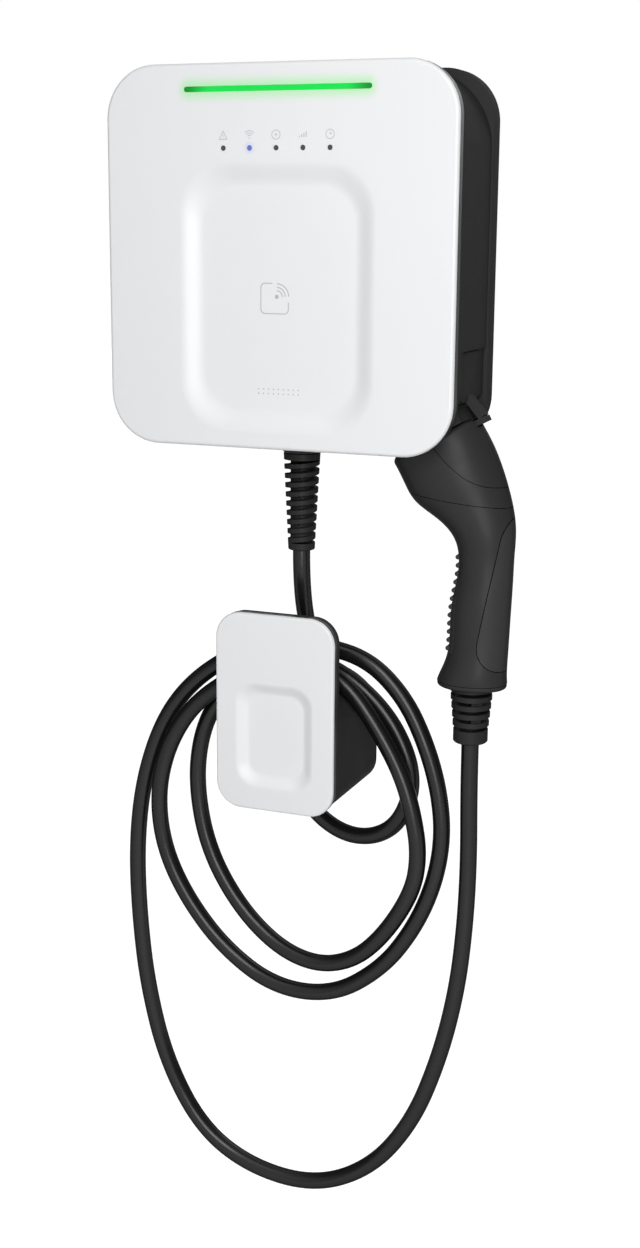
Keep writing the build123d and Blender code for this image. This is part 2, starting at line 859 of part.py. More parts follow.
# Plug sections from its lower end to its nose: place across and up from the rim's middle as
# shares of the plug's reach, then lean, half width as a share of the grip's or head's, and
# half thickness likewise
grip_shares = [
    (0.1635, -1.0000, 0.0, 1.240, 1.060),
    (0.1722, -0.9509, 0.0, 1.143, 1.070),
    (0.1843, -0.8841, 0.0, 1.058, 1.000),
    (0.1909, -0.7494, 0.0, 1.043, 0.990),
    (0.2081, -0.5458, 0.0, 0.954, 0.960),
    (0.2091, -0.4694, 1.0, 0.962, 0.970),
]
head_shares = [
    (0.1919, -0.3711, 5.0, 0.698, 0.780),
    (0.1357, -0.2739, 13.0, 0.894, 0.860),
    (0.0901, -0.2030, 21.0, 1.002, 0.950),
    (0.0410, -0.1119, 28.0, 1.043, 1.000),
    (-0.0177, -0.0094, 28.0, 1.052, 1.000),
]


def plug_section(share, half, thick, skin_off=0.0):
    dx, dz, lean, width_share, thick_share = share
    x = plug_head_x + dx * plug_reach
    z = plug_head_z + dz * plug_reach
    a = math.radians(lean)
    plane = Plane(origin=(x, -axis_depth, z), x_dir=(math.cos(a), 0, math.sin(a)),
                  z_dir=(-math.sin(a), 0, math.cos(a)))
    rx, ry = half * width_share - skin_off, thick * thick_share - skin_off
    return plane * Ellipse(rx, ry)


def plug_form(skin_off=0.0):
    faces = [plug_section(s, plug_grip_half, plug_grip_thickness, skin_off) for s in grip_shares]
    faces = faces + [plug_section(s, plug_head_half, plug_head_thickness, skin_off)
                     for s in head_shares]
    return loft(faces)


plug_base = plug_head_z - plug_reach
seam_z = plug_head_z - plug_reach * 0.2515
seam_x = plug_head_x + plug_reach * 0.134
seam_tilt = -6.0


def seam_side(form, upper, gap):
    """Keeps one side of the seam that divides the head from the grip."""
    size = plug_reach * 3
    shift = size / 2 + gap / 2
    half = Box(size, size, size)
    place = Pos(seam_x, -axis_depth, seam_z) * Rot(0, -seam_tilt, 0)
    return form & (place * Pos(0, 0, shift if upper else -shift) * half)


# Crease across the head's sides, from under the rim to its back, as shares of the plug's reach
crease_shares = [(-0.0100, -0.0060), (0.0387, -0.0517), (0.0839, -0.0969), (0.1445, -0.1460),
                 (0.1883, -0.1691), (0.2272, -0.1814), (0.3300, -0.1950)]


def crease_prism():
    upper = [(plug_head_x + dx * plug_reach, plug_head_z + dz * plug_reach)
             for dx, dz in crease_shares]
    lower = [(x, z - crease_width) for x, z in reversed(upper)]
    face = make_face(Polyline(*upper, *lower, close=True))
    return slab(face, axis_depth - plug_head_thickness * 2, axis_depth + plug_head_thickness * 2)


def connector_head(form):
    body = seam_side(form, True, plug_seam_gap)
    rim = body.edges().filter_by(lambda e: abs((e.center().X - plug_head_x) * nose_x
                                               + (e.center().Z - plug_head_z) * nose_z) < fit)
    body = fillet(rim, head_rim_soft)
    seat = extrude(nose_frame(reach=-carrier_seat) * nose_section(fit), amount=carrier_seat * 2)
    body = body - seat
    half_slot = hook_width / 2 + notch_clearance
    notch = slab(hook_sketch(notch_clearance), axis_depth - half_slot, axis_depth + half_slot)
    return body - notch - (crease_prism() - plug_form(crease_depth))


# Teardrop inlay: its corners as shares of the plug's reach from the rim's middle, each with its
# radius as a share of that reach. It runs out past the back of the grip.
tear_shares = [(0.420, -0.084, 0.01), (0.2905, -0.372, 0.16), (0.1852, -0.943, 0.108),
               (0.600, -0.943, 0.01), (0.600, -0.084, 0.01)]


def tear_prism(inset):
    points = [(plug_head_x + dx * plug_reach, plug_head_z + dz * plug_reach)
              for dx, dz, round_share in tear_shares]
    radii = [round_share * plug_reach for dx, dz, round_share in tear_shares]
    face = make_face(FilletPolyline(*points, radius=radii, close=True))
    if inset:
        face = offset(face, amount=-inset)
    thick = plug_grip_thickness * 2
    return slab(face, axis_depth - thick, axis_depth + thick)


def finger_box(grow):
    top = plug_head_z - plug_reach * 0.46
    low = plug_head_z - plug_reach * 0.88
    middle_x = plug_head_x + plug_reach * 0.115
    half = finger_pad_width / 2 + grow
    return block(middle_x - plug_grip_half, middle_x, axis_depth - half, axis_depth + half,
                 low - grow, top + grow)


def connector_handle(form, inner):
    body = seam_side(form, False, plug_seam_gap)
    body = body - (tear_prism(0) - inner)
    return body - (finger_box(fit) - plug_form(finger_pad_skin))


def grip_inlay(form, inner):
    return (seam_side(form, False, plug_seam_gap) & tear_prism(inlay_groove)) - inner


def finger_grip(form):
    under = plug_form(finger_pad_skin)
    pad = (form & finger_box(0)) - under
    bottom = plug_head_z - plug_reach * 0.86
    top = plug_head_z - plug_reach * 0.48
    ribs = []
    for i in range(rib_count):
        z = bottom + (top - bottom) * i / (rib_count - 1)
        line = form & block(plug_head_x - plug_reach, plug_head_x + plug_reach, axis_depth - fit,
                            axis_depth + fit, z - fit, z + fit)
        left = line.bounding_box().min.X
        rib = slab(disc(left + rib_radius - rib_rise, z, rib_radius),
                   axis_depth - finger_pad_width / 3, axis_depth + finger_pad_width / 3)
        ribs.append((rib & finger_box(0)) - under)
    return joined([pad] + ribs)


contact_places = [(0.0, 0.0, True, True), (-1.22, 0.0, True, True), (1.22, 0.0, True, True),
                  (-0.62, 1.06, True, False), (0.62, 1.06, True, False),
                  (-0.62, -1.0, False, True), (0.62, -1.0, False, True)]


def connector_nose():
    """Contact carrier: flattened round nose with seven contact wells."""
    body = extrude(nose_frame(reach=-carrier_seat) * nose_section(0), amount=nose_length + carrier_seat)
    tip = body.edges().filter_by(lambda e: abs((e.center().X - plug_head_x) * nose_x
                                               + (e.center().Z - plug_head_z) * nose_z
                                               - nose_length) < fit)
    body = chamfer(tip, edge_soft)
    for across, up, power, used in contact_places:
        radius = power_hole_radius if power else signal_hole_radius
        deep = contact_depth if used else contact_depth / 4
        well = Pos(-up * contact_ring, across * contact_ring) * Circle(radius)
        body = body - extrude(nose_frame(reach=nose_length - deep) * well, amount=deep + overrun)
    return body


def contact_sleeves():
    sleeves = []
    for across, up, power, used in contact_places:
        if used:
            radius = (power_hole_radius if power else signal_hole_radius) - sleeve_clear
            ring = Circle(radius) - Circle(radius - sleeve_wall)
            place = Pos(-up * contact_ring, across * contact_ring) * ring
            sleeves.append(extrude(nose_frame(reach=nose_length - contact_depth) * place,
                                   amount=contact_depth - sleeve_sunk))
    return Compound(children=sleeves)


end_x = plug_head_x + grip_shares[0][0] * plug_reach


def connector_end_ring():
    share = grip_shares[0]
    rx = plug_grip_half * share[3] - end_ring_inset
    ry = plug_grip_thickness * share[4] - end_ring_inset
    plane = Plane(origin=(end_x, -axis_depth, plug_base - end_ring_height), x_dir=(1, 0, 0),
                  z_dir=(0, 0, 1))
    body = extrude(plane * Ellipse(rx, ry), amount=end_ring_height - plug_seam_gap)
    low = body.edges().filter_by(lambda e: e.center().Z < plug_base - end_ring_height / 2)
    body = fillet(low, end_ring_height * 0.6)
    neck = plane * Ellipse(rx - end_ring_neck, ry - end_ring_neck)
    return body + extrude(neck, amount=end_ring_height)


def connector_boot():
    boot = segmented_boot(plug_boot_top, plug_boot_end, plug_boot_length, plug_boot_rings, wall,
                          plug_boot_collar, cable_radius)
    return Pos(end_x, -axis_depth, plug_base - end_ring_height) * boot


plug_boot_base = plug_base - end_ring_height - plug_boot_length


# Cable holder
holder_front = holder_depth - holder_face_depth
holder_rim_back = holder_front - holder_rim_depth
holder_half = holder_width / 2 - holder_body_inset
holder_base = holder_z - holder_height / 2 + holder_body_inset


def holder_outline(inset):
    """Front view of the holder's body: round lower corners and the cable saddle on top."""
    w = holder_half - inset
    low = holder_base + inset
    r = saddle_radius - inset
    crown = saddle_crown - inset
    drop = r - math.sqrt(r * r - w * w)
    arc = ThreePointArc((w, crown - drop), (0, crown), (-w, crown - drop))
    sides = FilletPolyline((-w, crown - drop), (-w, low), (w, low), (w, crown - drop),
                           radius=holder_radius - holder_body_inset - inset)
    return make_face([arc, sides])


def holder_holes():
    return [(sx * holder_hole_across / 2, holder_hole_z + sz * holder_hole_up / 2)
            for sx in (-1, 1) for sz in (-1, 1)]


holder_post_x = holder_half - holder_post_radius - holder_wall + fit * 2
post_spots = [(sx * holder_post_x, z)
              for sx in (-1, 1) for z in (saddle_crown - holder_dish_width * 0.55, holder_hole_z)]


def holder_body():
    half = channel_width / 2
    low, high = holder_base - overrun, saddle_crown + overrun
    duct = block(channel_x - half - holder_wall, channel_x + half + holder_wall, 0,
                 channel_depth + holder_wall, low, high)
    hollow = slab(holder_outline(holder_wall), holder_floor, holder_rim_back + overrun) - duct
    body = slab(holder_outline(0), 0, holder_rim_back) - hollow
    body = body - block(channel_x - half, channel_x + half, -overrun, channel_depth, low, high)
    for x, z in holder_holes():
        body = body - slab(disc(x, z, holder_hole_radius), -overrun, holder_floor + overrun)
    for x, z in post_spots:
        body = body + slab(disc(x, z, holder_post_radius), holder_floor - fit, holder_rim_back)
        hole = disc(x, z, screw_radius + fit / 2)
        body = body - slab(hole, holder_rim_back - screw_length, holder_rim_back + overrun)
    return body


def holder_rim():
    w, h = holder_width - holder_rim_inset * 2, holder_height - holder_rim_inset * 2
    r = holder_radius - holder_rim_inset
    body = slab(rounded(w, h, r, 0, holder_z), holder_rim_back, holder_front)
    inner = rounded(w - holder_wall * 2, h - holder_wall * 2, r - holder_wall, 0, holder_z)
    body = body - slab(inner, holder_rim_back + holder_plate, holder_front + overrun)
    for x, z in post_spots:
        body = body - slab(disc(x, z, screw_radius + fit), holder_rim_back - overrun, holder_front)
    return body


def holder_screws():
    head = holder_rim_back + holder_plate + screw_head_height
    return Compound(children=[cap_screw(x, z, head, 1) for x, z in post_spots])


def holder_face():
    bowl = (holder_dish_width, holder_dish_height, holder_dish_radius, holder_dish_slope,
            holder_dish_depth, holder_dish_centre)
    return dished_shell(holder_width, holder_height, holder_radius, holder_z, holder_front,
                        holder_depth, holder_wall, fascia_skin, fascia_edge * 0.7, bowl,
                        holder_dish_soft)


# Cable route in the part's frame, from the boot to the plug: down the holder's rear channel,
# round the small loop, then three times over the saddle
cable_start = (0.0, -axis_depth, boot_end)
cable_end = (end_x, -axis_depth, plug_boot_base)
plug_run = 42.0
cable_route = [
    (0.0, -50.0, -278.0),
    (1.0, -21.0, -330.0),
    (-8.0, -19.0, -385.0),
    (-14.5, -20.0, -430.0),
    (-8.0, -20.0, -461.0),
    (8.0, -21.0, -478.0),
    (31.0, -24.0, -488.0),
    (55.0, -28.0, -487.0),
    (77.0, -33.0, -475.0),
    (91.0, -38.0, -455.0),
    (98.0, -41.0, -431.0),
    (94.0, -42.0, -404.0),
    (76.0, -42.0, -372.0),
    (46.4, -42.0, -346.0),
    (16.2, -42.0, -331.5),
    (-16.2, -42.0, -331.5),
    (-47.0, -42.0, -345.0),
    (-80.0, -42.0, -372.0),
    (-97.0, -43.0, -408.0),
    (-101.0, -45.0, -455.0),
    (-89.0, -47.0, -511.0),
    (-59.0, -49.0, -559.0),
    (-20.0, -52.0, -591.0),
    (19.0, -54.0, -601.0),
    (54.0, -56.0, -589.0),
    (82.0, -58.0, -560.0),
    (106.0, -59.0, -518.0),
    (111.0, -59.0, -484.0),
    (105.0, -59.0, -449.0),
    (94.0, -58.0, -416.0),
    (73.0, -58.0, -380.0),
    (46.4, -58.0, -346.2),
    (16.2, -58.0, -331.5),
    (-16.2, -58.0, -331.5),
    (-50.0, -58.0, -344.0),
    (-84.0, -58.0, -366.0),
    (-108.0, -57.0, -392.0),
    (-126.0, -56.0, -428.0),
    (-134.0, -55.0, -470.0),
    (-128.0, -54.0, -516.0),
    (-106.0, -53.0, -560.0),
    (-70.0, -53.0, -601.0),
    (-22.0, -53.0, -629.0),
    (33.0, -53.0, -627.0),
    (78.0, -53.0, -594.0),
    (106.0, -53.0, -553.0),
    (123.0, -52.0, -510.0),
    (129.0, -51.0, -468.0),
    (124.0, -50.0, -428.0),
    (112.0, -50.0, -390.0),
    (93.0, -50.0, -353.0),
    (62.0, -50.0, -324.0),
    (22.0, -50.0, -315.0),
    (-18.0, -50.0, -316.0),
    (-58.0, -50.0, -329.0),
    (-92.0, -50.0, -351.0),
    (-119.0, -50.0, -380.0),
    (-138.0, -50.0, -416.0),
    (-152.0, -50.0, -464.0),
    (-158.0, -50.0, -520.0),
    (-157.0, -49.0, -582.0),
    (-150.0, -49.0, -650.0),
    (-132.0, -49.0, -722.0),
    (-97.0, -49.0, -783.0),
    (-48.0, -49.0, -812.0),
    (15.0, -49.0, -817.0),
    (69.0, -49.0, -788.0),
    (107.0, -49.0, -735.0),
    (130.0, -49.0, -670.0),
    (144.0, -49.0, -605.0),
    (150.0, -50.0, -543.0),
    (151.5, -50.0, -485.0),
]


def arc_radii(points):
    """One radius for each corner, as large as its two runs allow."""
    radii = []
    for a, b, c in zip(points, points[1:], points[2:]):
        into = Vector(*b) - Vector(*a)
        out = Vector(*c) - Vector(*b)
        turn = math.radians(into.get_angle(out))
        radii.append(0.45 * min(into.length, out.length) / math.tan(turn / 2))
    return radii


def charge_cable():
    last_turn = (end_x, -axis_depth, plug_boot_base - plug_run)
    points = [cable_start] + cable_route + [last_turn, cable_end]
    radii = arc_radii(points)
    path = FilletPolyline(*points, radius=radii)
    profile = Plane(origin=path @ 0, z_dir=path % 0) * Circle(cable_radius)
    tube = sweep(profile, path=path)
    print("cable length", round(path.length, 1), "smallest radii",
          [round(r, 1) for r in sorted(radii)[:8]])
    print("cable volume", round(tube.volume), "section times length",
          round(math.pi * cable_radius ** 2 * path.length))
    return tube


def main():
    save(rear_case(), "rear_case")
    save(supply_grommet(), "supply_grommet")
    save(main_housing(), "main_housing")
    save(holster_socket(), "holster_socket")
    save(holster_latch(), "holster_latch")
    save(latch_pin(), "latch_pin")
    save(latch_spring(), "latch_spring")
    save(cover_gasket(), "cover_gasket")
    save(cover_base(), "cover_base")
    save(fascia(), "fascia")
    save(light_bar(), "light_bar")
    lights = light_places()
    save(indicator_lens(lights[lit_index]), "indicator_lens_lit")
    dark = [indicator_lens(p) for i, p in enumerate(lights) if i != lit_index]
    save(Compound(children=dark), "indicator_lenses")
    save(light_bar_board(), "light_bar_board")
    save(indicator_board(), "indicator_board")
    save(control_board(), "control_board")
    save(card_reader_board(), "card_reader_board")
    case_heads = [cap_screw(x, z, fit / 2, -1) for x, z in posts]
    save(Compound(children=case_heads), "case_screws")
    lid_heads = [cap_screw(x, z, lid_front - fit / 2, 1) for x, z in posts]
    save(Compound(children=lid_heads), "cover_screws")
    save(din_rail(), "din_rail")
    save(power_supply(), "power_supply")
    save(contactor(), "contactor")
    save(energy_meter(), "energy_meter")
    save(residual_current_unit(), "residual_current_unit")
    save(terminal_block(), "terminal_block")
    save(leakage_sensor(), "leakage_sensor")
    save(output_cores(), "output_cores")
    save(cable_gland(), "cable_gland")
    save(gland_locknut(), "gland_locknut")
    save(cable_boot(), "cable_boot")
    form, inner = plug_form(), plug_form(inlay_skin)
    save(connector_head(form), "connector_head")
    save(connector_handle(form, inner), "connector_handle")
    save(grip_inlay(form, inner), "grip_inlay")
    save(finger_grip(form), "finger_grip")
    save(connector_nose(), "connector_nose")
    save(contact_sleeves(), "contact_sleeves")
    save(connector_end_ring(), "connector_end_ring")
    save(connector_boot(), "connector_boot")
    save(holder_body(), "holder_body")
    save(holder_rim(), "holder_rim")
    save(holder_screws(), "holder_screws")
    save(holder_face(), "holder_face")
    save(charge_cable(), "charge_cable")


main()
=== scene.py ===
# Finishes, printed marks, charging cable and studio of a tethered wallbox with its cable holder.
# Everything is in metres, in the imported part's frame: X right, Y into the wall, Z up.
import json
import math

import bmesh
import bpy
from bpy.props import FloatProperty, FloatVectorProperty, IntProperty, PointerProperty
from bpy.types import NodeSocket, Operator, Panel, PropertyGroup
from mathutils import Matrix, Vector


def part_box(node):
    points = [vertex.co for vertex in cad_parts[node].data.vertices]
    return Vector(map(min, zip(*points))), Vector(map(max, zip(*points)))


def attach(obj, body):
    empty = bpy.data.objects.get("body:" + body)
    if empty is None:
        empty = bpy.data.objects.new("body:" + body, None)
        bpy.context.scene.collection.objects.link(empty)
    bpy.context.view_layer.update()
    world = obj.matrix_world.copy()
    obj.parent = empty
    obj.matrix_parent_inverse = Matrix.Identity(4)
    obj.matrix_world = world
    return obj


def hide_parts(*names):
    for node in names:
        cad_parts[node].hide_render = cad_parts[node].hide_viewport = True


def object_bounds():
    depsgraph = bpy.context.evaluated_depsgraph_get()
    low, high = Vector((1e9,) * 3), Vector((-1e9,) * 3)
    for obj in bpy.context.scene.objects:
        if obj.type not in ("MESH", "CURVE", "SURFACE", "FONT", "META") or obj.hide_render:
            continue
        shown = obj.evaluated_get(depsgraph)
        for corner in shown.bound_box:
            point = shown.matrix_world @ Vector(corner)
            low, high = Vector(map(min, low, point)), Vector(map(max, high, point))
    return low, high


bl_info = {
    "name": "Tethered wallbox",
    "version": (1, 0, 0),
    "blender": (4, 5, 0),
    "location": "View3D > Sidebar > Wallbox",
    "description": "Builds the visible finish of a wallbox, its cable holder and its charging plug",
    "category": "Object",
}

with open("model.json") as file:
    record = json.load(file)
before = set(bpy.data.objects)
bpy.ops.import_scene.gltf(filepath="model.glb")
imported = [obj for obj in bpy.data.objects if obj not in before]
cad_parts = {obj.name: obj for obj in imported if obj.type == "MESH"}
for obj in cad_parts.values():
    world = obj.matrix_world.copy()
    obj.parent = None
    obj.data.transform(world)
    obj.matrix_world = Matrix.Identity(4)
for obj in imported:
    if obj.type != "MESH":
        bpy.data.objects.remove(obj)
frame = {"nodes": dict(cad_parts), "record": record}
CAD_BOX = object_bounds()
NODES = frame["nodes"]
UNIT = "unit"
NODE_BODY = {node: body for body, nodes in frame["record"]["behaviour"]["bodies"].items() for node in nodes}
NODE_SLOT = {part["node"]: part["material_slot"] for part in frame["record"]["subparts"]}
# Points of a mesh that lie closer than this are one point
WELD = 0.000002
# Faces that meet at less than this angle, in degrees, are one face
FLAT_ANGLE = 0.6
# Share of a finish's colour that is left in a crevice, where shade is painted into the colour
PAINTED_GAP_SHADE_SHARE = 0.05
WHITE = (1.0, 1.0, 1.0, 1.0)


def length(label, text, value):
    return FloatProperty(name=label, description=text, default=value, unit="LENGTH", precision=5)


def number(label, text, value):
    return FloatProperty(name=label, description=text, default=value)


def share(label, text, value):
    return FloatProperty(name=label, description=text, default=value, subtype="FACTOR", min=0.0, max=1.0)


def angle(label, text, degrees):
    return FloatProperty(name=label, description=text, default=math.radians(degrees), subtype="ANGLE")


def film(label, text, millimetres):
    return FloatProperty(name=label, description=text, default=millimetres, unit="CAMERA")


def count(label, text, value):
    return IntProperty(name=label, description=text, default=value, min=0)


def colour(label, text, value):
    return FloatVectorProperty(name=label, description=text, default=value, size=3, subtype="COLOR",
                               min=0.0, max=1.0)


class WallboxFrontSettings(PropertyGroup):
    """Finish of both white fronts and form of the unit's own"""
    white: colour("White", "Colour of both fronts", (0.885, 0.893, 0.905))
    shine: share("Shine", "Specular level of the white", 0.45)
    # Painted shade: colour and shine of the white fronts' sides behind the face
    painted_side_shade: colour("Painted side shade", "Colour painted as shade on the sides behind the white", (0.04, 0.04, 0.0405))
    painted_side_shade_shine: share("Painted side shade shine", "Specular level of the sides painted as shade", 0.05)
    white_edge: length("White edge", "How far the white reaches back from the face", 0.0028)
    side_limit: share("Side limit", "A surface that faces the front by less than this is a side", 0.35)
    edge: length("Edge radius", "Rounding of the outer edge", 0.0032)
    corner: length("Corner radius", "Radius of the corners", 0.041)
    skin: length("Skin", "Thickness of the moulded front", 0.0025)
    side: length("Side wall", "Thickness of the sides", 0.003)
    dish_width: length("Dish width", "Width of the dish at its rim", 0.160)
    dish_height: length("Dish height", "Height of the dish at its rim", 0.204)
    dish_radius: length("Dish corner", "Corner radius of the dish at its rim", 0.038)
    dish_centre: length("Dish place", "Height of the dish's middle", -0.030)
    dish_depth: length("Dish depth", "Depth of the dish", 0.006)
    dish_slope: length("Dish slope", "Width of the dish's sloping side", 0.015)
    dish_blend: length("Dish blend", "How far the slope blends into the flats on each side", 0.002)


class WallboxHolderSettings(PropertyGroup):
    """Form of the cable holder's white front"""
    edge: length("Edge radius", "Rounding of the outer edge", 0.00224)
    corner: length("Corner radius", "Radius of the corners", 0.022)
    skin: length("Skin", "Thickness of the moulded front", 0.002)
    side: length("Side wall", "Thickness of the sides", 0.003)
    dish_width: length("Dish width", "Width of the dish at its rim", 0.067)
    dish_height: length("Dish height", "Height of the dish at its rim", 0.088)
    dish_radius: length("Dish corner", "Corner radius of the dish at its rim", 0.017)
    dish_centre: length("Dish place", "Height of the dish's middle", -0.382)
    dish_depth: length("Dish depth", "Depth of the dish", 0.005)
    dish_slope: length("Dish slope", "Width of the dish's sloping side", 0.009)
    dish_blend: length("Dish blend", "How far the slope blends into the flats on each side", 0.0012)


class WallboxLightSettings(PropertyGroup):
    """Light bar and row of indicator lights"""
    bar_length: length("Bar length", "Length of the light bar", 0.154)
    bar_height: length("Bar height", "Height of the light bar", 0.0042)
    bar_z: length("Bar place", "Height of the light bar's middle", 0.1273)
    bar_green: colour("Bar colour", "Lit colour in the middle of the bar", (0.008, 0.60, 0.066))
    bar_end: colour("Bar end colour", "Lit colour at the ends of the bar", (0.004, 0.215, 0.020))
    bar_even: share("Even share", "Share of the bar that is lit evenly", 0.7)
    # Painted light: the bar's glow is painted into the white front's colour
    bar_painted_light_reach: length("Bar glow reach", "How far the bar tints the white front", 0.013)
    bar_painted_light: share("Bar glow", "How strongly the bar tints the white front", 0.75)
    bar_painted_light_colour: colour("Bar tint", "Colour of the bar's glow on the white", (0.42, 0.93, 0.42))
    lamp_count: count("Lights", "Number of indicator lights", 5)
    lamp_pitch: length("Light pitch", "Distance between indicator lights", 0.022)
    lamp_z: length("Light place", "Height of the row of lights", 0.0836)
    lamp_radius: length("Light radius", "Radius of an indicator light", 0.0021)
    lamp_dark: colour("Dark light", "Colour of a light that is off", (0.045, 0.046, 0.05))
    lit_index: count("Lit light", "Place of the lit light in the row", 1)
    lit_blue: colour("Lit colour", "Colour of the lit light", (0.085, 0.125, 0.45))
    # Painted light: the lit light's glow is painted into the white front's colour
    lamp_painted_light_reach: length("Light glow reach", "How far the lit light tints the white front", 0.00672)
    lamp_painted_light: share("Light glow", "How strongly the lit light tints the white front", 0.6)
    lamp_painted_light_colour: colour("Light tint", "Colour of the lit light's glow on the white", (0.62, 0.66, 0.93))
    emission: number("Emission", "Emission of the bar and of the lit light", 0.35)


class WallboxMarkSettings(PropertyGroup):
    """Printed marks and dots"""
    ink: colour("Ink", "Grey of the printed marks", (0.50, 0.50, 0.52))
    ink_height: length("Ink height", "Thickness of the printed marks", 0.00004)
    stroke: length("Stroke", "Line width of the marks over the lights", 0.0005)
    mark_z: length("Row height", "Height of the marks over the lights", 0.0932)
    mark_size: length("Mark size", "Height of one mark", 0.0068)
    tag_stroke: length("Tag stroke", "Line width of the card mark", 0.00075)
    tag_size: length("Tag mark", "Width of the card mark in the dish", 0.0232)
    tag_x: length("Tag place", "Sideways place of the card mark", -0.0034)
    tag_z: length("Tag height", "Height of the card mark", -0.0292)
    dot_pitch: length("Dot pitch", "Distance between the dots of a row", 0.0042)
    dot_drop: length("Dot rows", "Distance between the two rows of dots", 0.0035)
    dot_radius: length("Dot radius", "Radius of one dot", 0.00055)
    dot_z: length("Dot place", "Height of the two rows of dots", -0.1011)
    dots: count("Dots", "Dots in one row", 9)


class WallboxHousingSettings(PropertyGroup):
    """Black housing and holder body"""
    black: colour("Housing black", "Colour of the housing", (0.0385, 0.0385, 0.0390))
    soft: length("Edge softness", "Bevel of the housing's edges", 0.0006)


class WallboxCableSettings(PropertyGroup):
    """Charging cable, gland and bend reliefs"""
    black: colour("Sheath", "Colour of the cable's sheath", (0.0085, 0.0085, 0.0088))
    radius: length("Cable radius", "Radius of the charging cable", 0.00725)
    run: length("Cable length", "Length of the charging cable", 3.319)
    straight: length("Straight end", "Length of the cable's straight end at the plug", 0.042)
    nut_black: colour("Nut black", "Colour of the gland's nut", (0.0375, 0.0375, 0.03795))
    nut_soft: length("Nut edge", "Bevel of the gland's edges", 0.0005)
    boot_black: colour("Boot black", "Colour of the bend reliefs", (0.0250, 0.0250, 0.0253))
    boot_top: length("Boot top", "Radius of the bend relief under the gland", 0.0152)
    boot_end: length("Boot end", "Radius of the bend relief's lower end", 0.011)
    boot_core: length("Boot core", "Radius at the bottom of its spiral groove", 0.0094)
    boot_collar: length("Boot collar", "Length of the plain collar at each end", 0.006)
    boot_round: length("Boot rounding", "Rounding of the bend relief's two ends", 0.0012)
    boot_turns: number("Turns", "Turns of the spiral rib", 9.0)
    rib_share: share("Rib share", "Share of one turn that the rib takes", 0.6)
    rib_flank: share("Rib flank", "Share of one turn that each side of the rib takes", 0.09)


class WallboxPlugSettings(PropertyGroup):
    """Colours and edge of the plug"""
    black: colour("Plug black", "Colour of the plug's shell", (0.0330, 0.0330, 0.0333))
    rubber: colour("Grip black", "Colour of the soft inlays", (0.0450, 0.0450, 0.0454))
    silver: colour("Contacts", "Colour of the plated contacts", (0.80, 0.78, 0.74))
    soft: length("Plug edge", "Bevel of the plug's bend relief", 0.0005)


class WallboxInsideSettings(PropertyGroup):
    """Colours of the screws and of the pieces inside the housing"""
    steel: colour("Steel", "Colour of the plated steel", (0.62, 0.62, 0.64))
    grey: colour("Device grey", "Colour of the electrical devices", (0.55, 0.56, 0.57))
    seal: colour("Seal black", "Colour of the seals", (0.02, 0.02, 0.02))
    nut: colour("Locknut black", "Colour of the gland's locknut", (0.02, 0.02, 0.021))
    core: colour("Core blue", "Colour of the cores", (0.03, 0.10, 0.38))


class WallboxStageSettings(PropertyGroup):
    """Camera, floor and surroundings"""
    camera: FloatVectorProperty(name="Camera", description="Place of the camera", size=3,
                                default=(0.53512, -1.35787, 0.02894), subtype="TRANSLATION", precision=5)
    yaw: angle("Yaw", "Turn of the camera to the left", 21.6117)
    pitch: angle("Pitch", "Tilt of the camera downwards", 13.0535)
    roll: angle("Roll", "Roll of the camera", 0.4790)
    lens: film("Lens", "Focal length", 50.0)
    sensor: film("Sensor", "Long side of the sensor", 36.0)
    clip: length("Clip end", "How far the camera sees", 100.0)
    floor_gap: length("Floor gap", "Distance from the lowest loop of cable to the floor", 0.22)
    floor_half: length("Floor size", "Half the side of the floor", 12.0)
    floor_white: colour("Floor", "Colour of the floor as it lights the object", (0.50, 0.50, 0.50))
    floor_shown: share("Floor level", "Brightness that the floor adds for the camera and reflections", 0.92)
    ambient: share("Ambient", "Level of the surroundings as light", 0.32)
    flag_start: share("Flag start", "How far to the side the surroundings begin to darken", 0.2)
    flag_end: share("Flag end", "How far to the side they are darkest", 0.8)
    flag_level: share("Flag level", "Share of their level that is left there", 0.2)


SETTINGS = {
    "wallbox_front": WallboxFrontSettings,
    "wallbox_holder": WallboxHolderSettings,
    "wallbox_lights": WallboxLightSettings,
    "wallbox_marks": WallboxMarkSettings,
    "wallbox_housing": WallboxHousingSettings,
    "wallbox_cable": WallboxCableSettings,
    "wallbox_plug": WallboxPlugSettings,
    "wallbox_inside": WallboxInsideSettings,
    "wallbox_stage": WallboxStageSettings,
}


# Shader helpers
def feed(node, inputs):
    """Sets inputs of a node: a socket is linked, anything else becomes the input's own value."""
    for key, value in inputs.items():
        if isinstance(value, NodeSocket):
            node.id_data.links.new(value, node.inputs[key])
        else:
            node.inputs[key].default_value = value


def add(tree, kind, inputs=None, **settings):
    """Adds a node with its options and its inputs."""
    node = tree.nodes.new(kind)
    for key, value in settings.items():
        setattr(node, key, value)
    feed(node, inputs or {})
    return node


def maths(tree, operation, a, b=0.0):
    """Result of a math node whose two inputs are sockets or numbers."""
    return add(tree, "ShaderNodeMath", {0: a, 1: b}, operation=operation).outputs[0]


def coordinates(tree, kind="Object"):
    return add(tree, "ShaderNodeTexCoord").outputs[kind]


def axis(tree, vector, name):
    return add(tree, "ShaderNodeSeparateXYZ", {0: vector}).outputs[name]


def noise(tree, place, scale, detail, **more):
    """Cloudy tone from 0 to 1."""
    inputs = {"Vector": place, "Scale": scale, "Detail": detail, **more}
    return add(tree, "ShaderNodeTexNoise", inputs).outputs["Fac"]


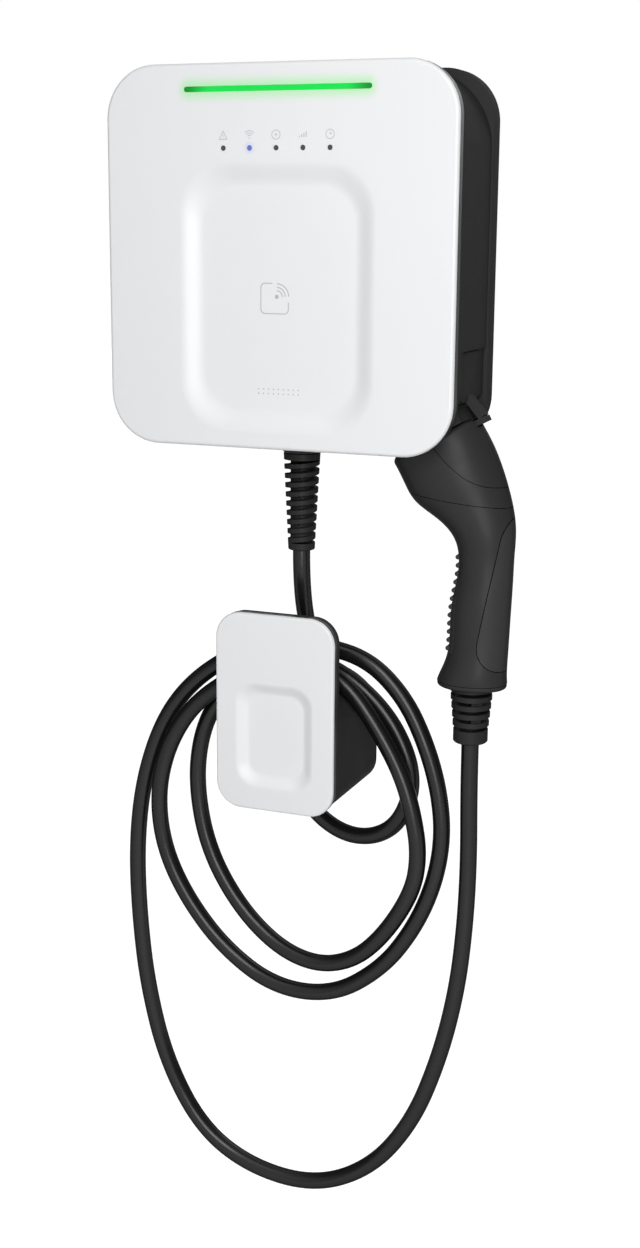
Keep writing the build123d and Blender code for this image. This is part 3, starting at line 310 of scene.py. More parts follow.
def ramp(tree, value, low, high, start=0.0, end=1.0, curve="LINEAR"):
    """Goes from start to end as a value goes from low to high, and stays level beyond them."""
    inputs = {"Value": value, "From Min": low, "From Max": high, "To Min": start, "To Max": end}
    return add(tree, "ShaderNodeMapRange", inputs, interpolation_type=curve).outputs["Result"]


def spread(tree, tone, low, high):
    """Value between two numbers as a cloudy tone goes from 0.3 to 0.7."""
    return ramp(tree, tone, 0.3, 0.7, low, high)


def blend(tree, factor, a, b):
    """Mix of two colours, each a socket or three numbers."""
    a, b = (side if isinstance(side, NodeSocket) else (*side, 1.0) for side in (a, b))
    return add(tree, "ShaderNodeMix", {"Factor": factor, "A": a, "B": b}, data_type="RGBA").outputs["Result"]


def tinted(tree, base, tone, amount):
    """Colour moved up and down by a share with a 0 to 1 tone."""
    return blend(tree, tone, [c * (1 - amount) for c in base], [min(1.0, c * (1 + amount)) for c in base])


def relief(tree, height, strength, distance=0.0001):
    """Normal bumped by a height."""
    inputs = {"Height": height, "Strength": strength, "Distance": distance}
    return add(tree, "ShaderNodeBump", inputs).outputs["Normal"]


def new_group(name, inputs, outputs):
    """Empty shader group of number sockets, and its input and output nodes."""
    group = bpy.data.node_groups.new(name, "ShaderNodeTree")
    for label, value in inputs.items():
        socket = group.interface.new_socket(label, in_out="INPUT", socket_type="NodeSocketFloat")
        socket.default_value = value
    for label in outputs:
        group.interface.new_socket(label, in_out="OUTPUT", socket_type="NodeSocketFloat")
    return group, group.nodes.new("NodeGroupInput"), group.nodes.new("NodeGroupOutput")


def moulded_grain_group():
    """Spark-eroded tool grain with slow tone drift and faint handling marks."""
    group, given, result = new_group(
        "Moulded grain", {"Scale": 3000.0, "Pits": 0.4}, ("Height", "Drift", "Marks"))
    place = coordinates(group)
    scale = given.outputs["Scale"]
    fine = noise(group, place, scale, detail=3.0, Roughness=0.6)
    pits = add(group, "ShaderNodeTexVoronoi", {
        "Vector": place, "Scale": maths(group, "MULTIPLY", scale, 0.6)})
    pit_height = maths(group, "MULTIPLY", pits.outputs["Distance"], given.outputs["Pits"])
    feed(result, {
        "Height": maths(group, "ADD", fine, pit_height),
        "Drift": noise(group, place, scale=9.0, detail=2.0),
        "Marks": noise(group, place, scale=42.0, detail=5.0, Roughness=0.7, Distortion=0.8)})


def painted_gap_shade_group():
    """Painted shade: 1 on open surfaces, falling to 0 in narrow gaps and grooves, read from ambient
    occlusion, so that a finish darkens there as if in shade.
    """
    group, given, result = new_group("Painted gap shade", {"Reach": 0.003}, ("Open",))
    seen = add(group, "ShaderNodeAmbientOcclusion", {"Distance": given.outputs["Reach"]}, samples=12)
    feed(result, {"Open": ramp(group, seen.outputs["AO"], low=0.35, high=0.8)})


def drawn_metal_group():
    """Fine drawing lines along one direction, for plated steel and contacts."""
    group, given, result = new_group("Drawn metal", {"Across": 2600.0, "Along": 60.0}, ("Height", "Streaks"))
    place = coordinates(group)
    across = given.outputs["Across"]
    stretch = add(group, "ShaderNodeCombineXYZ", {"X": given.outputs["Along"], "Y": across, "Z": across})
    lines = add(group, "ShaderNodeVectorMath", {0: place, 1: stretch.outputs[0]}, operation="MULTIPLY")
    feed(result, {
        "Height": noise(group, lines.outputs[0], scale=1.0, detail=4.0),
        "Streaks": noise(group, place, scale=130.0, detail=3.0)})


def grouped(tree, name, inputs=None):
    """Instance of one of the three shader groups."""
    return add(tree, "ShaderNodeGroup", inputs, node_tree=bpy.data.node_groups[name])


def new_material(name):
    material = bpy.data.materials.new(name)
    material.use_nodes = True
    tree = material.node_tree
    return material, tree, tree.nodes["Principled BSDF"]


def moulded(name, base, rough, grain=3000.0, bump=0.05, reach=0.0001, specular=0.5, drift=0.06,
            rough_play=0.05, painted_shade_reach=0.0, rim=1.0):
    """Moulded plastic or rubber: grain in the bump, drift in the colour, marks in the roughness.
    With a painted shade reach, shade is painted into narrow gaps and grooves, which turn dark and dull. rim
    is the share of the shine that a coarse grain leaves where the surface is seen edge on."""
    material, tree, shader = new_material(name)
    surface = grouped(tree, "Moulded grain", {"Scale": grain})
    tone = tinted(tree, base, surface.outputs["Drift"], drift)
    shine = specular
    if rim < 1.0:
        edge_on = add(tree, "ShaderNodeLayerWeight", {"Blend": 0.5}).outputs["Facing"]
        shine = ramp(tree, edge_on, low=0.05, high=0.5, start=specular, end=specular * rim)
    # Painted shade: narrow gaps and grooves are darkened in colour and shine
    if painted_shade_reach:
        unshaded_share = grouped(tree, "Painted gap shade", {"Reach": painted_shade_reach}).outputs["Open"]
        tone = blend(tree, unshaded_share, [c * PAINTED_GAP_SHADE_SHARE for c in base], tone)
        shine = maths(tree, "MULTIPLY", unshaded_share, shine)
    feed(shader, {
        "Base Color": tone,
        "Roughness": spread(tree, surface.outputs["Marks"], rough - rough_play, rough + rough_play),
        "Normal": relief(tree, surface.outputs["Height"], bump, reach),
        "Specular IOR Level": shine})
    return material


def plated(name, base, rough):
    """Plated metal with drawing lines."""
    material, tree, shader = new_material(name)
    surface = grouped(tree, "Drawn metal")
    streaks = surface.outputs["Streaks"]
    feed(shader, {
        "Base Color": tinted(tree, base, streaks, amount=0.08),
        "Roughness": spread(tree, streaks, rough - 0.06, rough + 0.08),
        "Normal": relief(tree, surface.outputs["Height"], strength=0.08),
        "Metallic": 1.0})
    return material


def light_row(lights):
    """Sideways places of the indicator lights."""
    middle = (lights.lamp_count - 1) / 2
    return [(i - middle) * lights.lamp_pitch for i in range(lights.lamp_count)]


def painted_light_mask(tree, place, centre_x, centre_z, half_length, reach):
    """Mask of painted light: 1 on a lit bar and falling to 0 at its reach, from the distance to the bar in
    the front plane.
    """
    dx = maths(tree, "ABSOLUTE", maths(tree, "SUBTRACT", axis(tree, place, "X"), centre_x))
    dx = maths(tree, "MAXIMUM", maths(tree, "SUBTRACT", dx, half_length), 0.0)
    dz = maths(tree, "SUBTRACT", axis(tree, place, "Z"), centre_z)
    flat = add(tree, "ShaderNodeCombineXYZ", {"X": dx, "Y": dz}).outputs[0]
    away = add(tree, "ShaderNodeVectorMath", {0: flat}, operation="LENGTH").outputs["Value"]
    return ramp(tree, away, 0.0, reach, start=1.0, end=0.0, curve="SMOOTHERSTEP")


def white_material(name, front, face):
    """Satin white shell whose sides are painted black a little behind the face, as painted shade."""
    material = moulded(name, front.white, rough=0.36, grain=1500.0, bump=0.02, reach=0.00008,
                       specular=front.shine, drift=0.012, rough_play=0.03)
    tree = material.node_tree
    shader = tree.nodes["Principled BSDF"]
    white = shader.inputs["Base Color"].links[0].from_socket
    # Painted shade: the sides behind the white edge turn black
    behind = maths(tree, "GREATER_THAN", axis(tree, coordinates(tree), "Y"), face + front.white_edge)
    facing = maths(tree, "ABSOLUTE", axis(tree, coordinates(tree, "Normal"), "Y"))
    back = maths(tree, "MULTIPLY", behind, maths(tree, "LESS_THAN", facing, front.side_limit))
    feed(shader, {
        "Base Color": blend(tree, back, white, front.painted_side_shade),
        "Specular IOR Level": ramp(tree, back, 0.0, 1.0, front.shine, front.painted_side_shade_shine)})
    return material


def paint_light_round_lights(material, lights):
    """Paints the light of the bar and of the lit light into the white's colour round them, as painted glow.
    """
    tree = material.node_tree
    shader = tree.nodes["Principled BSDF"]
    place = coordinates(tree)
    half = lights.bar_length / 2 - lights.bar_height
    lit_x = light_row(lights)[lights.lit_index]
    bar = painted_light_mask(tree, place, 0.0, lights.bar_z, half, lights.bar_painted_light_reach)
    lit = painted_light_mask(tree, place, lit_x, lights.lamp_z, 0.0, lights.lamp_painted_light_reach)
    tone = shader.inputs["Base Color"].links[0].from_socket
    painted_lights = ((bar, lights.bar_painted_light, lights.bar_painted_light_colour), (lit, lights.lamp_painted_light, lights.lamp_painted_light_colour))
    for mask, amount, tint in painted_lights:
        tone = blend(tree, maths(tree, "MULTIPLY", mask, amount), tone, tint)
    feed(shader, {"Base Color": tone})


def bar_material(lights):
    """Lit diffuser, darker towards both ends."""
    material, tree, shader = new_material("Light bar")
    place = coordinates(tree)
    half = lights.bar_length / 2
    from_middle = maths(tree, "ABSOLUTE", axis(tree, place, "X"))
    end_share = ramp(tree, from_middle, half * lights.bar_even, half, curve="SMOOTHSTEP")
    tone = blend(tree, end_share, lights.bar_green, lights.bar_end)
    feed(shader, {
        "Base Color": tone,
        "Emission Color": tone,
        "Emission Strength": lights.emission,
        "Roughness": spread(tree, noise(tree, place, scale=60.0, detail=1.0), 0.3, 0.42),
        "Specular IOR Level": 0.2})
    return material


def lens_material(name, tone, emission):
    """Small round lens with a soft core. One that is off has no emission."""
    material, tree, shader = new_material(name)
    cloud = noise(tree, coordinates(tree), scale=900.0, detail=2.0)
    core = tinted(tree, tone, cloud, amount=0.25)
    feed(shader, {
        "Base Color": core,
        "Emission Color": core,
        "Emission Strength": emission,
        "Roughness": spread(tree, cloud, 0.12, 0.22),
        "Coat Weight": 0.4})
    return material


def board_material():
    """Green solder mask with copper tracks and pads."""
    material, tree, shader = new_material("Circuit board")
    place = coordinates(tree)
    tracks = add(tree, "ShaderNodeTexBrick", {
        "Vector": place, "Scale": 190.0, "Mortar Size": 0.03, "Color1": (0.012, 0.105, 0.04, 1.0),
        "Color2": (0.014, 0.125, 0.05, 1.0), "Mortar": (0.03, 0.24, 0.10, 1.0)})
    feed(shader, {
        "Base Color": tracks.outputs["Color"],
        "Roughness": spread(tree, noise(tree, place, scale=260.0, detail=3.0), 0.3, 0.5),
        "Normal": relief(tree, tracks.outputs["Fac"], strength=0.2)})
    return material


# Object and mesh helpers
def link(name, data):
    thing = bpy.data.objects.new(name, data)
    bpy.context.scene.collection.objects.link(thing)
    return thing


def baked(piece):
    """Puts a piece's modifiers into its mesh."""
    graph = bpy.context.evaluated_depsgraph_get()
    mesh = bpy.data.meshes.new_from_object(piece.evaluated_get(graph), preserve_all_data_layers=True,
                                           depsgraph=graph)
    mesh.name = piece.name
    piece.modifiers.clear()
    piece.data = mesh
    return piece


def soften(piece, width, angle=32.0, segments=3):
    """Bevels the sharp edges, shades the piece smooth and keeps its flats flat."""
    for polygon in piece.data.polygons:
        polygon.use_smooth = True
    if width:
        bevel = piece.modifiers.new("Edge", "BEVEL")
        bevel.width = width
        bevel.segments = segments
        bevel.limit_method = "ANGLE"
        bevel.angle_limit = math.radians(angle)
        bevel.use_clamp_overlap = True
        bevel.miter_outer = "MITER_ARC"
    else:
        piece.data.set_sharp_from_angle(angle=math.radians(angle))
    weighted = piece.modifiers.new("Flats", "WEIGHTED_NORMAL")
    weighted.keep_sharp = True
    weighted.weight = 80
    return baked(piece)


def settle(piece, node):
    """Parents a finished piece to its node's body and hides the CAD node that it stands for."""
    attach(piece, NODE_BODY[node])
    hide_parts(node)
    return piece


def painted(piece, material):
    piece.data.materials.clear()
    piece.data.materials.append(material)
    return piece


def dressed_copy(node, name, material, width):
    """Merged copy of a CAD node, with its edges softened, that stands for the node."""
    mesh = NODES[node].data.copy()
    shape = bmesh.new()
    shape.from_mesh(mesh)
    bmesh.ops.remove_doubles(shape, verts=shape.verts, dist=WELD)
    bmesh.ops.dissolve_limit(shape, angle_limit=math.radians(FLAT_ANGLE), verts=shape.verts,
                             edges=shape.edges, use_dissolve_boundaries=False, delimit=set())
    shape.to_mesh(mesh)
    shape.free()
    mesh.materials.clear()
    piece = link(name, mesh)
    soften(piece, width)
    painted(piece, material)
    return settle(piece, node)


def welded(piece):
    """Merges the doubled points of a piece and points its faces outwards."""
    shape = bmesh.new()
    shape.from_mesh(piece.data)
    bmesh.ops.remove_doubles(shape, verts=shape.verts, dist=WELD)
    bmesh.ops.recalc_face_normals(shape, faces=shape.faces)
    shape.to_mesh(piece.data)
    shape.free()
    return piece


def shape_piece(name, shape):
    """Object with the mesh of a bmesh, which is freed."""
    mesh = bpy.data.meshes.new(name)
    shape.to_mesh(mesh)
    shape.free()
    return link(name, mesh)


def arc_points(x, z, radius, start, sweep, steps):
    """Points along an arc in the front plane, whose angles are in degrees."""
    turns = [math.radians(start + sweep * i / steps) for i in range(steps + 1)]
    return [(x + radius * math.cos(turn), z + radius * math.sin(turn)) for turn in turns]


def round_ring(width, height, radius, depth, centre_z, steps=14):
    """Points round one rounded rectangle, anticlockwise seen from the front."""
    half_w, half_h = width / 2 - radius, height / 2 - radius
    points = []
    for side_x, side_z, start in ((1, 1, 0), (-1, 1, 90), (-1, -1, 180), (1, -1, 270)):
        points += arc_points(side_x * half_w, centre_z + side_z * half_h, radius, start, 90, steps)
    return [(x, -depth, z) for x, z in points]


def ring_mesh(name, rings):
    """Closed skin through rings of the same number of points."""
    shape = bmesh.new()
    rows = [[shape.verts.new(p) for p in ring] for ring in rings]
    around = len(rows[0])
    for a, b in zip(rows, rows[1:]):
        for i in range(around):
            j = (i + 1) % around
            shape.faces.new((a[i], a[j], b[j], b[i]))
    shape.faces.new(list(reversed(rows[0])))
    shape.faces.new(rows[-1])
    bmesh.ops.recalc_face_normals(shape, faces=shape.faces)
    return shape_piece(name, shape)


def s_curve(t):
    return t * t * (3 - 2 * t)


def dish_rings(form, front, sink, steps=14):
    """Rings down a dish whose side is an S curve. sink moves them back, for the inner face of the shell."""
    rings = []
    for i in range(steps + 1):
        t = i / steps
        inset = (form.dish_slope + 2 * form.dish_blend) * t - form.dish_blend - sink * (1 - t) / 2
        drop = form.dish_depth * s_curve(t) + sink
        rings.append(round_ring(form.dish_width - 2 * inset, form.dish_height - 2 * inset,
                                form.dish_radius - inset / 2, front - drop, form.dish_centre))
    return rings


def dished_plate(name, low, high, back, form, edge_steps=7):
    """Moulded front shell of a box's width, height and face, with a rounded edge, an open back and a dish."""
    width, height, centre, front = high.x - low.x, high.z - low.z, (low.z + high.z) / 2, -low.y
    rings = dish_rings(form, front, sink=form.skin)
    rings.reverse()
    for depth in (front - form.skin, back):
        rings.append(round_ring(width - 2 * form.side, height - 2 * form.side, form.corner - form.side, depth,
                                centre))
    rings.append(round_ring(width, height, form.corner, back, centre))
    for i in range(edge_steps + 1):
        turn = math.pi / 2 * i / edge_steps
        inset = form.edge * (1 - math.cos(turn))
        depth = front - form.edge + form.edge * math.sin(turn)
        rings.append(round_ring(width - 2 * inset, height - 2 * inset, form.corner - inset, depth, centre))
    rings.extend(dish_rings(form, front, sink=0.0))
    return ring_mesh(name, rings)


def stadium(length_x, height_z, x, z, depths, steps=16):
    """Two rings of a slot with round ends, at two depths."""
    radius = height_z / 2
    reach = length_x / 2 - radius
    right_end = arc_points(x + reach, z, radius, -90, 180, steps)
    left_end = arc_points(x - reach, z, radius, 90, 180, steps)
    return [[(across, -depth, up) for across, up in right_end + left_end] for depth in depths]


def cut_by(piece, cutters):
    """Takes the cutters out of a piece and removes them."""
    for cutter in cutters:
        modifier = piece.modifiers.new(cutter.name, "BOOLEAN")
        modifier.object = cutter
        modifier.solver = "EXACT"
    baked(piece)
    for cutter in cutters:
        bpy.data.objects.remove(cutter)


class Drawing:
    """Flat marks drawn as ribbons in the front plane, then given the ink's thickness."""
    # At a sharp corner the mitre reaches out by at most half the width over this
    mitre_limit = 0.35

    def __init__(self, depth, stroke):
        self.shape = bmesh.new()
        self.depth = depth
        self.stroke = stroke

    def face(self, points):
        self.shape.faces.new([self.shape.verts.new((x, -self.depth, z)) for x, z in points])

    def line(self, points, closed=False, width=None):
        """Ribbon along a run of points, mitred at its corners."""
        half = (width or self.stroke) / 2
        last = len(points) - 1
        sides = []
        for i, (x, z) in enumerate(points):
            before = points[i - 1] if i or closed else None
            after = points[(i + 1) % len(points)] if i < last or closed else None
            runs = []
            if before:
                runs.append(Vector((x - before[0], z - before[1])).normalized())
            if after:
                runs.append(Vector((after[0] - x, after[1] - z)).normalized())
            normals = [Vector((-run.y, run.x)) for run in runs]
            middle = sum(normals, Vector((0.0, 0.0))).normalized()
            reach = half / max(self.mitre_limit, middle.dot(normals[0]))
            sides.append(((x + middle.x * reach, z + middle.y * reach),
                          (x - middle.x * reach, z - middle.y * reach)))
        for a, b in zip(sides, sides[1:] + sides[:1] if closed else sides[1:]):
            self.face((a[1], b[1], b[0], a[0]))

    def arc(self, x, z, radius, start, end, steps=20):
        points = arc_points(x, z, radius, start, end - start, steps)
        closed = end - start >= 360
        self.line(points[:-1] if closed else points, closed)

    def spot(self, x, z, radius, steps=16):
        self.face(arc_points(x, z, radius, 0, 360, steps)[:-1])

    def piece(self, name, thickness):
        for face in self.shape.faces:
            face.normal_update()
            if face.normal.y > 0:
                face.normal_flip()
        piece = shape_piece(name, self.shape)
        solid = piece.modifiers.new("Ink", "SOLIDIFY")
        solid.thickness = thickness
        solid.offset = 1.0
        return baked(piece)


# Geometry Nodes helpers
def geometry_tree(name, inputs):
    """Geometry group with named inputs, ready for its nodes."""
    tree = bpy.data.node_groups.new(name, "GeometryNodeTree")
    tree.interface.new_socket("Geometry", in_out="INPUT", socket_type="NodeSocketGeometry")
    for label, kind in inputs.items():
        tree.interface.new_socket(label, in_out="INPUT", socket_type="NodeSocket" + kind)
    tree.interface.new_socket("Geometry", in_out="OUTPUT", socket_type="NodeSocketGeometry")
    return tree, tree.nodes.new("NodeGroupInput"), tree.nodes.new("NodeGroupOutput")


def grown(name, tree, values):
    """Object whose mesh a geometry tree makes, with the tree's inputs set by name."""
    piece = link(name, bpy.data.meshes.new(name))
    modifier = piece.modifiers.new(tree.name, "NODES")
    modifier.node_group = tree
    for item in tree.interface.items_tree:
        if item.item_type == "SOCKET" and item.in_out == "INPUT" and item.name in values:
            modifier[item.identifier] = values[item.name]
    return baked(piece)


def dot_grid_tree():
    """Two rows of small round dots in the front plane, realized and given their material at the end."""
    tree, given, result = geometry_tree("Dot rows", {
        "Pitch": "Float", "Row pitch": "Float", "Count": "Int", "Radius": "Float", "Thickness": "Float",
        "Place": "Vector", "Material": "Material"})
    gaps = maths(tree, "SUBTRACT", given.outputs["Count"], 1.0)
    grid = add(tree, "GeometryNodeMeshGrid", {
        "Vertices X": given.outputs["Count"], "Size X": maths(tree, "MULTIPLY", given.outputs["Pitch"], gaps),
        "Vertices Y": 2, "Size Y": given.outputs["Row pitch"]})
    disc = add(tree, "GeometryNodeMeshCylinder", {
        "Vertices": 14, "Radius": given.outputs["Radius"], "Depth": given.outputs["Thickness"]})
    many = add(tree, "GeometryNodeInstanceOnPoints", {
        "Points": grid.outputs["Mesh"], "Instance": disc.outputs["Mesh"]})
    upright = add(tree, "GeometryNodeTransform", {
        "Geometry": many.outputs[0], "Translation": given.outputs["Place"],
        "Rotation": (math.pi / 2, 0.0, 0.0)})
    real = add(tree, "GeometryNodeRealizeInstances", {"Geometry": upright.outputs[0]})
    paint = add(tree, "GeometryNodeSetMaterial", {
        "Geometry": real.outputs[0], "Material": given.outputs["Material"]})
    feed(result, {"Geometry": paint.outputs[0]})
    return tree


# Pieces
class WALLBOX_OT_surface_groups(Operator):
    """Build the shader groups that the finishes share"""
    bl_idname = "wallbox.surface_groups"
    bl_label = "Surface groups"

    def execute(self, context):
        moulded_grain_group()
        painted_gap_shade_group()
        drawn_metal_group()
        return {"FINISHED"}


class WALLBOX_OT_front_shell(Operator):
    """Make the dished white front with its light slot and light holes"""
    bl_idname = "wallbox.front_shell"
    bl_label = "Front shell"

    def execute(self, context):
        front, lights = context.scene.wallbox_front, context.scene.wallbox_lights
        low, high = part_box("fascia")
        piece = dished_plate("white_front", low, high, -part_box("cover_base")[0].y, front)
        # From behind the skin to in front of the face
        depths = (-low.y - front.skin * 2, -low.y + front.skin)
        slot = stadium(lights.bar_length, lights.bar_height, 0.0, lights.bar_z, depths)
        cutters = [ring_mesh("slot", slot)]
        hole = lights.lamp_radius * 2
        for x in light_row(lights):
            cutters.append(welded(ring_mesh("hole", stadium(hole, hole, x, lights.lamp_z, depths))))
        cut_by(piece, cutters)
        soften(piece, width=0.0, angle=40.0)
        white = white_material("White front", front, low.y)
        # Painted light: glow of the bar and of the lit light in the white's colour
        paint_light_round_lights(white, lights)
        settle(painted(piece, white), "fascia")
        return {"FINISHED"}


class WALLBOX_OT_lights(Operator):
    """Finish the light bar and the indicator lights"""
    bl_idname = "wallbox.lights"
    bl_label = "Lights"

    def execute(self, context):
        lights = context.scene.wallbox_lights
        painted(NODES["light_bar"], bar_material(lights))
        painted(NODES["indicator_lens_lit"], lens_material("Lit lens", lights.lit_blue, lights.emission))
        painted(NODES["indicator_lenses"], lens_material("Dark lens", lights.lamp_dark, 0.0))
        return {"FINISHED"}


class WALLBOX_OT_marks(Operator):
    """Print the generic marks over the lights, and the card mark and the dots in the dish"""
    bl_idname = "wallbox.marks"
    bl_label = "Printed marks"

    def execute(self, context):
        marks, lights = context.scene.wallbox_marks, context.scene.wallbox_lights
        face = -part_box("fascia")[0].y
        floor = face - context.scene.wallbox_front.dish_depth
        ink = moulded("Printed ink", marks.ink, rough=0.55, grain=6000.0, bump=0.02, drift=0.03)
        drawing = Drawing(face, marks.stroke)
        for draw, x in zip((warning_mark, wireless_mark, charging_mark, signal_mark, clock_mark),
                           light_row(lights)):
            draw(drawing, x, marks.mark_z, marks.mark_size)
        row = drawing.piece("light_marks", marks.ink_height)
        drawing = Drawing(floor, marks.tag_stroke)
        card_mark(drawing, marks.tag_x, marks.tag_z, marks.tag_size)
        card = drawing.piece("card_mark", marks.ink_height)
        dots = grown("sound_dots", dot_grid_tree(), {
            "Pitch": marks.dot_pitch, "Row pitch": marks.dot_drop, "Count": marks.dots,
            "Radius": marks.dot_radius, "Thickness": marks.ink_height * 2,
            "Place": (0.0, -floor, marks.dot_z), "Material": ink})
        for piece in (row, card, dots):
            painted(piece, ink)
            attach(piece, UNIT)
        return {"FINISHED"}


# The marks are drawn in shares of their size, round a middle at x and z
def warning_mark(drawing, x, z, size):
    half = size * 0.46
    drawing.line([(x - half, z - half), (x + half, z - half), (x, z + half)], closed=True)
    drawing.line([(x, z + half * 0.25), (x, z - half * 0.35)])
    drawing.spot(x, z - half * 0.66, drawing.stroke * 0.6)


def wireless_mark(drawing, x, z, size):
    base = z - size * 0.36
    drawing.spot(x, base, drawing.stroke)
    for share_out in (0.32, 0.56, 0.8):
        drawing.arc(x, base, size * share_out, 48, 132, steps=10)


def charging_mark(drawing, x, z, size):
    drawing.arc(x, z, size * 0.5, 0, 360, steps=36)
    bolt = [(0.08, 0.32), (-0.16, -0.04), (0.02, -0.04), (-0.08, -0.32), (0.16, 0.06), (-0.02, 0.06)]
    drawing.face([(x + size * dx, z + size * dz) for dx, dz in bolt])


def signal_mark(drawing, x, z, size):
    base = z - size * 0.3
    for i in range(4):
        bar_x = x + size * (i - 1.5) * 0.26
        drawing.line([(bar_x, base), (bar_x, base + size * (0.14 + 0.15 * i))], width=drawing.stroke * 1.5)


def clock_mark(drawing, x, z, size):
    drawing.arc(x, z, size * 0.5, 0, 360, steps=36)
    drawing.line([(x, z + size * 0.3), (x, z), (x + size * 0.22, z + size * 0.12)])


def card_mark(drawing, x, z, size):
    """Rounded card outline, open at one corner where three waves leave a spot."""
    half, corner = size / 2, size * 0.15
    points = [(x - size * 0.08, z + half)]
    for centre_x, centre_z, start in ((x - half + corner, z + half - corner, 90),
                                      (x - half + corner, z - half + corner, 180),
                                      (x + half - corner, z - half + corner, 270)):
        points += arc_points(centre_x, centre_z, corner, start, 90, steps=8)
    points.append((x + half, z - size * 0.12))
    drawing.line(points)
    spot_x, spot_z = x + size * 0.08, z + size * 0.06
    drawing.spot(spot_x, spot_z, size * 0.07)
    for share_out in (0.2, 0.31, 0.43):
        drawing.arc(spot_x, spot_z, size * share_out, 2, 88, steps=14)


class WALLBOX_OT_housing(Operator):
    """Finish the black housing: lid, body, rear shell, holster and latch"""
    bl_idname = "wallbox.housing"
    bl_label = "Housing"

    def execute(self, context):
        housing = context.scene.wallbox_housing
        # Painted shade darkens the housing's narrow gaps and recesses
        black = moulded("Housing black", housing.black, rough=0.64, grain=2600.0, bump=0.22, reach=0.00012,
                        specular=0.04, drift=0.05, rough_play=0.04, painted_shade_reach=0.0015, rim=0.2)
        for node, name in (("cover_base", "lid"), ("main_housing", "housing"), ("rear_case", "rear_shell"),
                           ("holster_socket", "holster"), ("holster_latch", "latch_lever")):
            dressed_copy(node, name, black, housing.soft)
        return {"FINISHED"}


def relief_rubber(name, cable):
    """Soft black of a cable's bend relief."""
    # Painted shade darkens the spiral groove and other narrow gaps
    return moulded(name, cable.boot_black, rough=0.45, grain=2400.0, bump=0.12, specular=0.12,
                   painted_shade_reach=0.003, rim=0.05)


class WALLBOX_OT_gland(Operator):
    """Make the cable gland and its spiral bend relief"""
    bl_idname = "wallbox.gland"
    bl_label = "Gland"

    def execute(self, context):
        cable = context.scene.wallbox_cable
        nut = moulded("Gland black", cable.nut_black, rough=0.5, grain=2400.0, bump=0.12, specular=0.12)
        dressed_copy("cable_gland", "gland_nut", nut, cable.nut_soft)
        piece = ring_mesh("spiral_boot", spiral_rings(cable, *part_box("cable_boot")))
        soften(piece, width=0.0, angle=60.0)
        settle(painted(piece, relief_rubber("Boot black", cable)), "cable_boot")
        return {"FINISHED"}


def spiral_rings(cable, low, high, around=72, up=190):
    """Rings down a bend relief with one spiral rib between two plain collars."""
    centre = (low + high) / 2
    total = high.z - low.z
    ribbed = total - 2 * cable.boot_collar
    rings = []
    for k in range(up + 1):
        t = k / up
        drop = total * t
        outer = cable.boot_top + (cable.boot_end - cable.boot_top) * t
        along = (drop - cable.boot_collar) / ribbed
        from_end = min(1.0, min(drop, total - drop) / cable.boot_round)
        rounding = cable.boot_round * (1 - math.sqrt(max(0.0, 1 - (1 - from_end) ** 2)))
        ring = []
        for i in range(around):
            turn = 2 * math.pi * i / around
            phase = (along * cable.boot_turns + i / around) % 1.0
            rise = s_curve(min(1.0, phase / cable.rib_flank))
            fall = s_curve(min(1.0, max(0.0, (cable.rib_share - phase) / cable.rib_flank + 1)))
            height = rise * fall if 0 <= along <= 1 else 1.0
            radius = cable.boot_core + (outer - cable.boot_core) * height - rounding
            ring.append((centre.x + radius * math.cos(turn), centre.y + radius * math.sin(turn),
                         high.z - drop))
        rings.append(ring)
    return rings


PLUG_NODES = ("connector_head", "connector_handle", "grip_inlay", "finger_grip", "connector_nose",
              "contact_sleeves", "connector_end_ring")


class WALLBOX_OT_plug(Operator):
    """Finish the plug: shell halves, soft inlays, nose, contacts, end ring and bend relief"""
    bl_idname = "wallbox.plug"
    bl_label = "Plug"

    def execute(self, context):
        plug = context.scene.wallbox_plug
        # Painted shade darkens the seams and grooves of the shell and of the grip
        shell = moulded("Plug shell", plug.black, rough=0.38, grain=2600.0, bump=0.10, specular=0.13,
                        painted_shade_reach=0.0022, rim=0.02)
        grip = moulded("Grip rubber", plug.rubber, rough=0.44, grain=3400.0, bump=0.15, specular=0.12,
                       painted_shade_reach=0.0026, rim=0.02)
        silver = plated("Silver plating", plug.silver, rough=0.28)
        finishes = {"grip_inlay": grip, "finger_grip": grip, "contact_sleeves": silver}
        for node in PLUG_NODES:
            painted(NODES[node], finishes.get(node, shell))
        rubber = relief_rubber("Plug boot rubber", context.scene.wallbox_cable)
        dressed_copy("connector_boot", "plug_boot", rubber, plug.soft)
        return {"FINISHED"}


class WALLBOX_OT_holder(Operator):
    """Make the cable holder's white front and finish its black body"""
    bl_idname = "wallbox.holder"
    bl_label = "Cable holder"

    def execute(self, context):
        housing = context.scene.wallbox_housing
        low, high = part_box("holder_face")
        piece = dished_plate("holder_front", low, high, -high.y, context.scene.wallbox_holder)
        soften(piece, width=0.0, angle=40.0)
        white = white_material("White holder front", context.scene.wallbox_front, low.y)
        settle(painted(piece, white), "holder_face")
        black = moulded("Holder black", housing.black, rough=0.64, grain=2600.0, bump=0.2, reach=0.00012,
                        specular=0.05, rim=0.2)
        dressed_copy("holder_rim", "holder_edge", black, housing.soft)
        dressed_copy("holder_body", "holder_saddle", black, housing.soft)
        return {"FINISHED"}


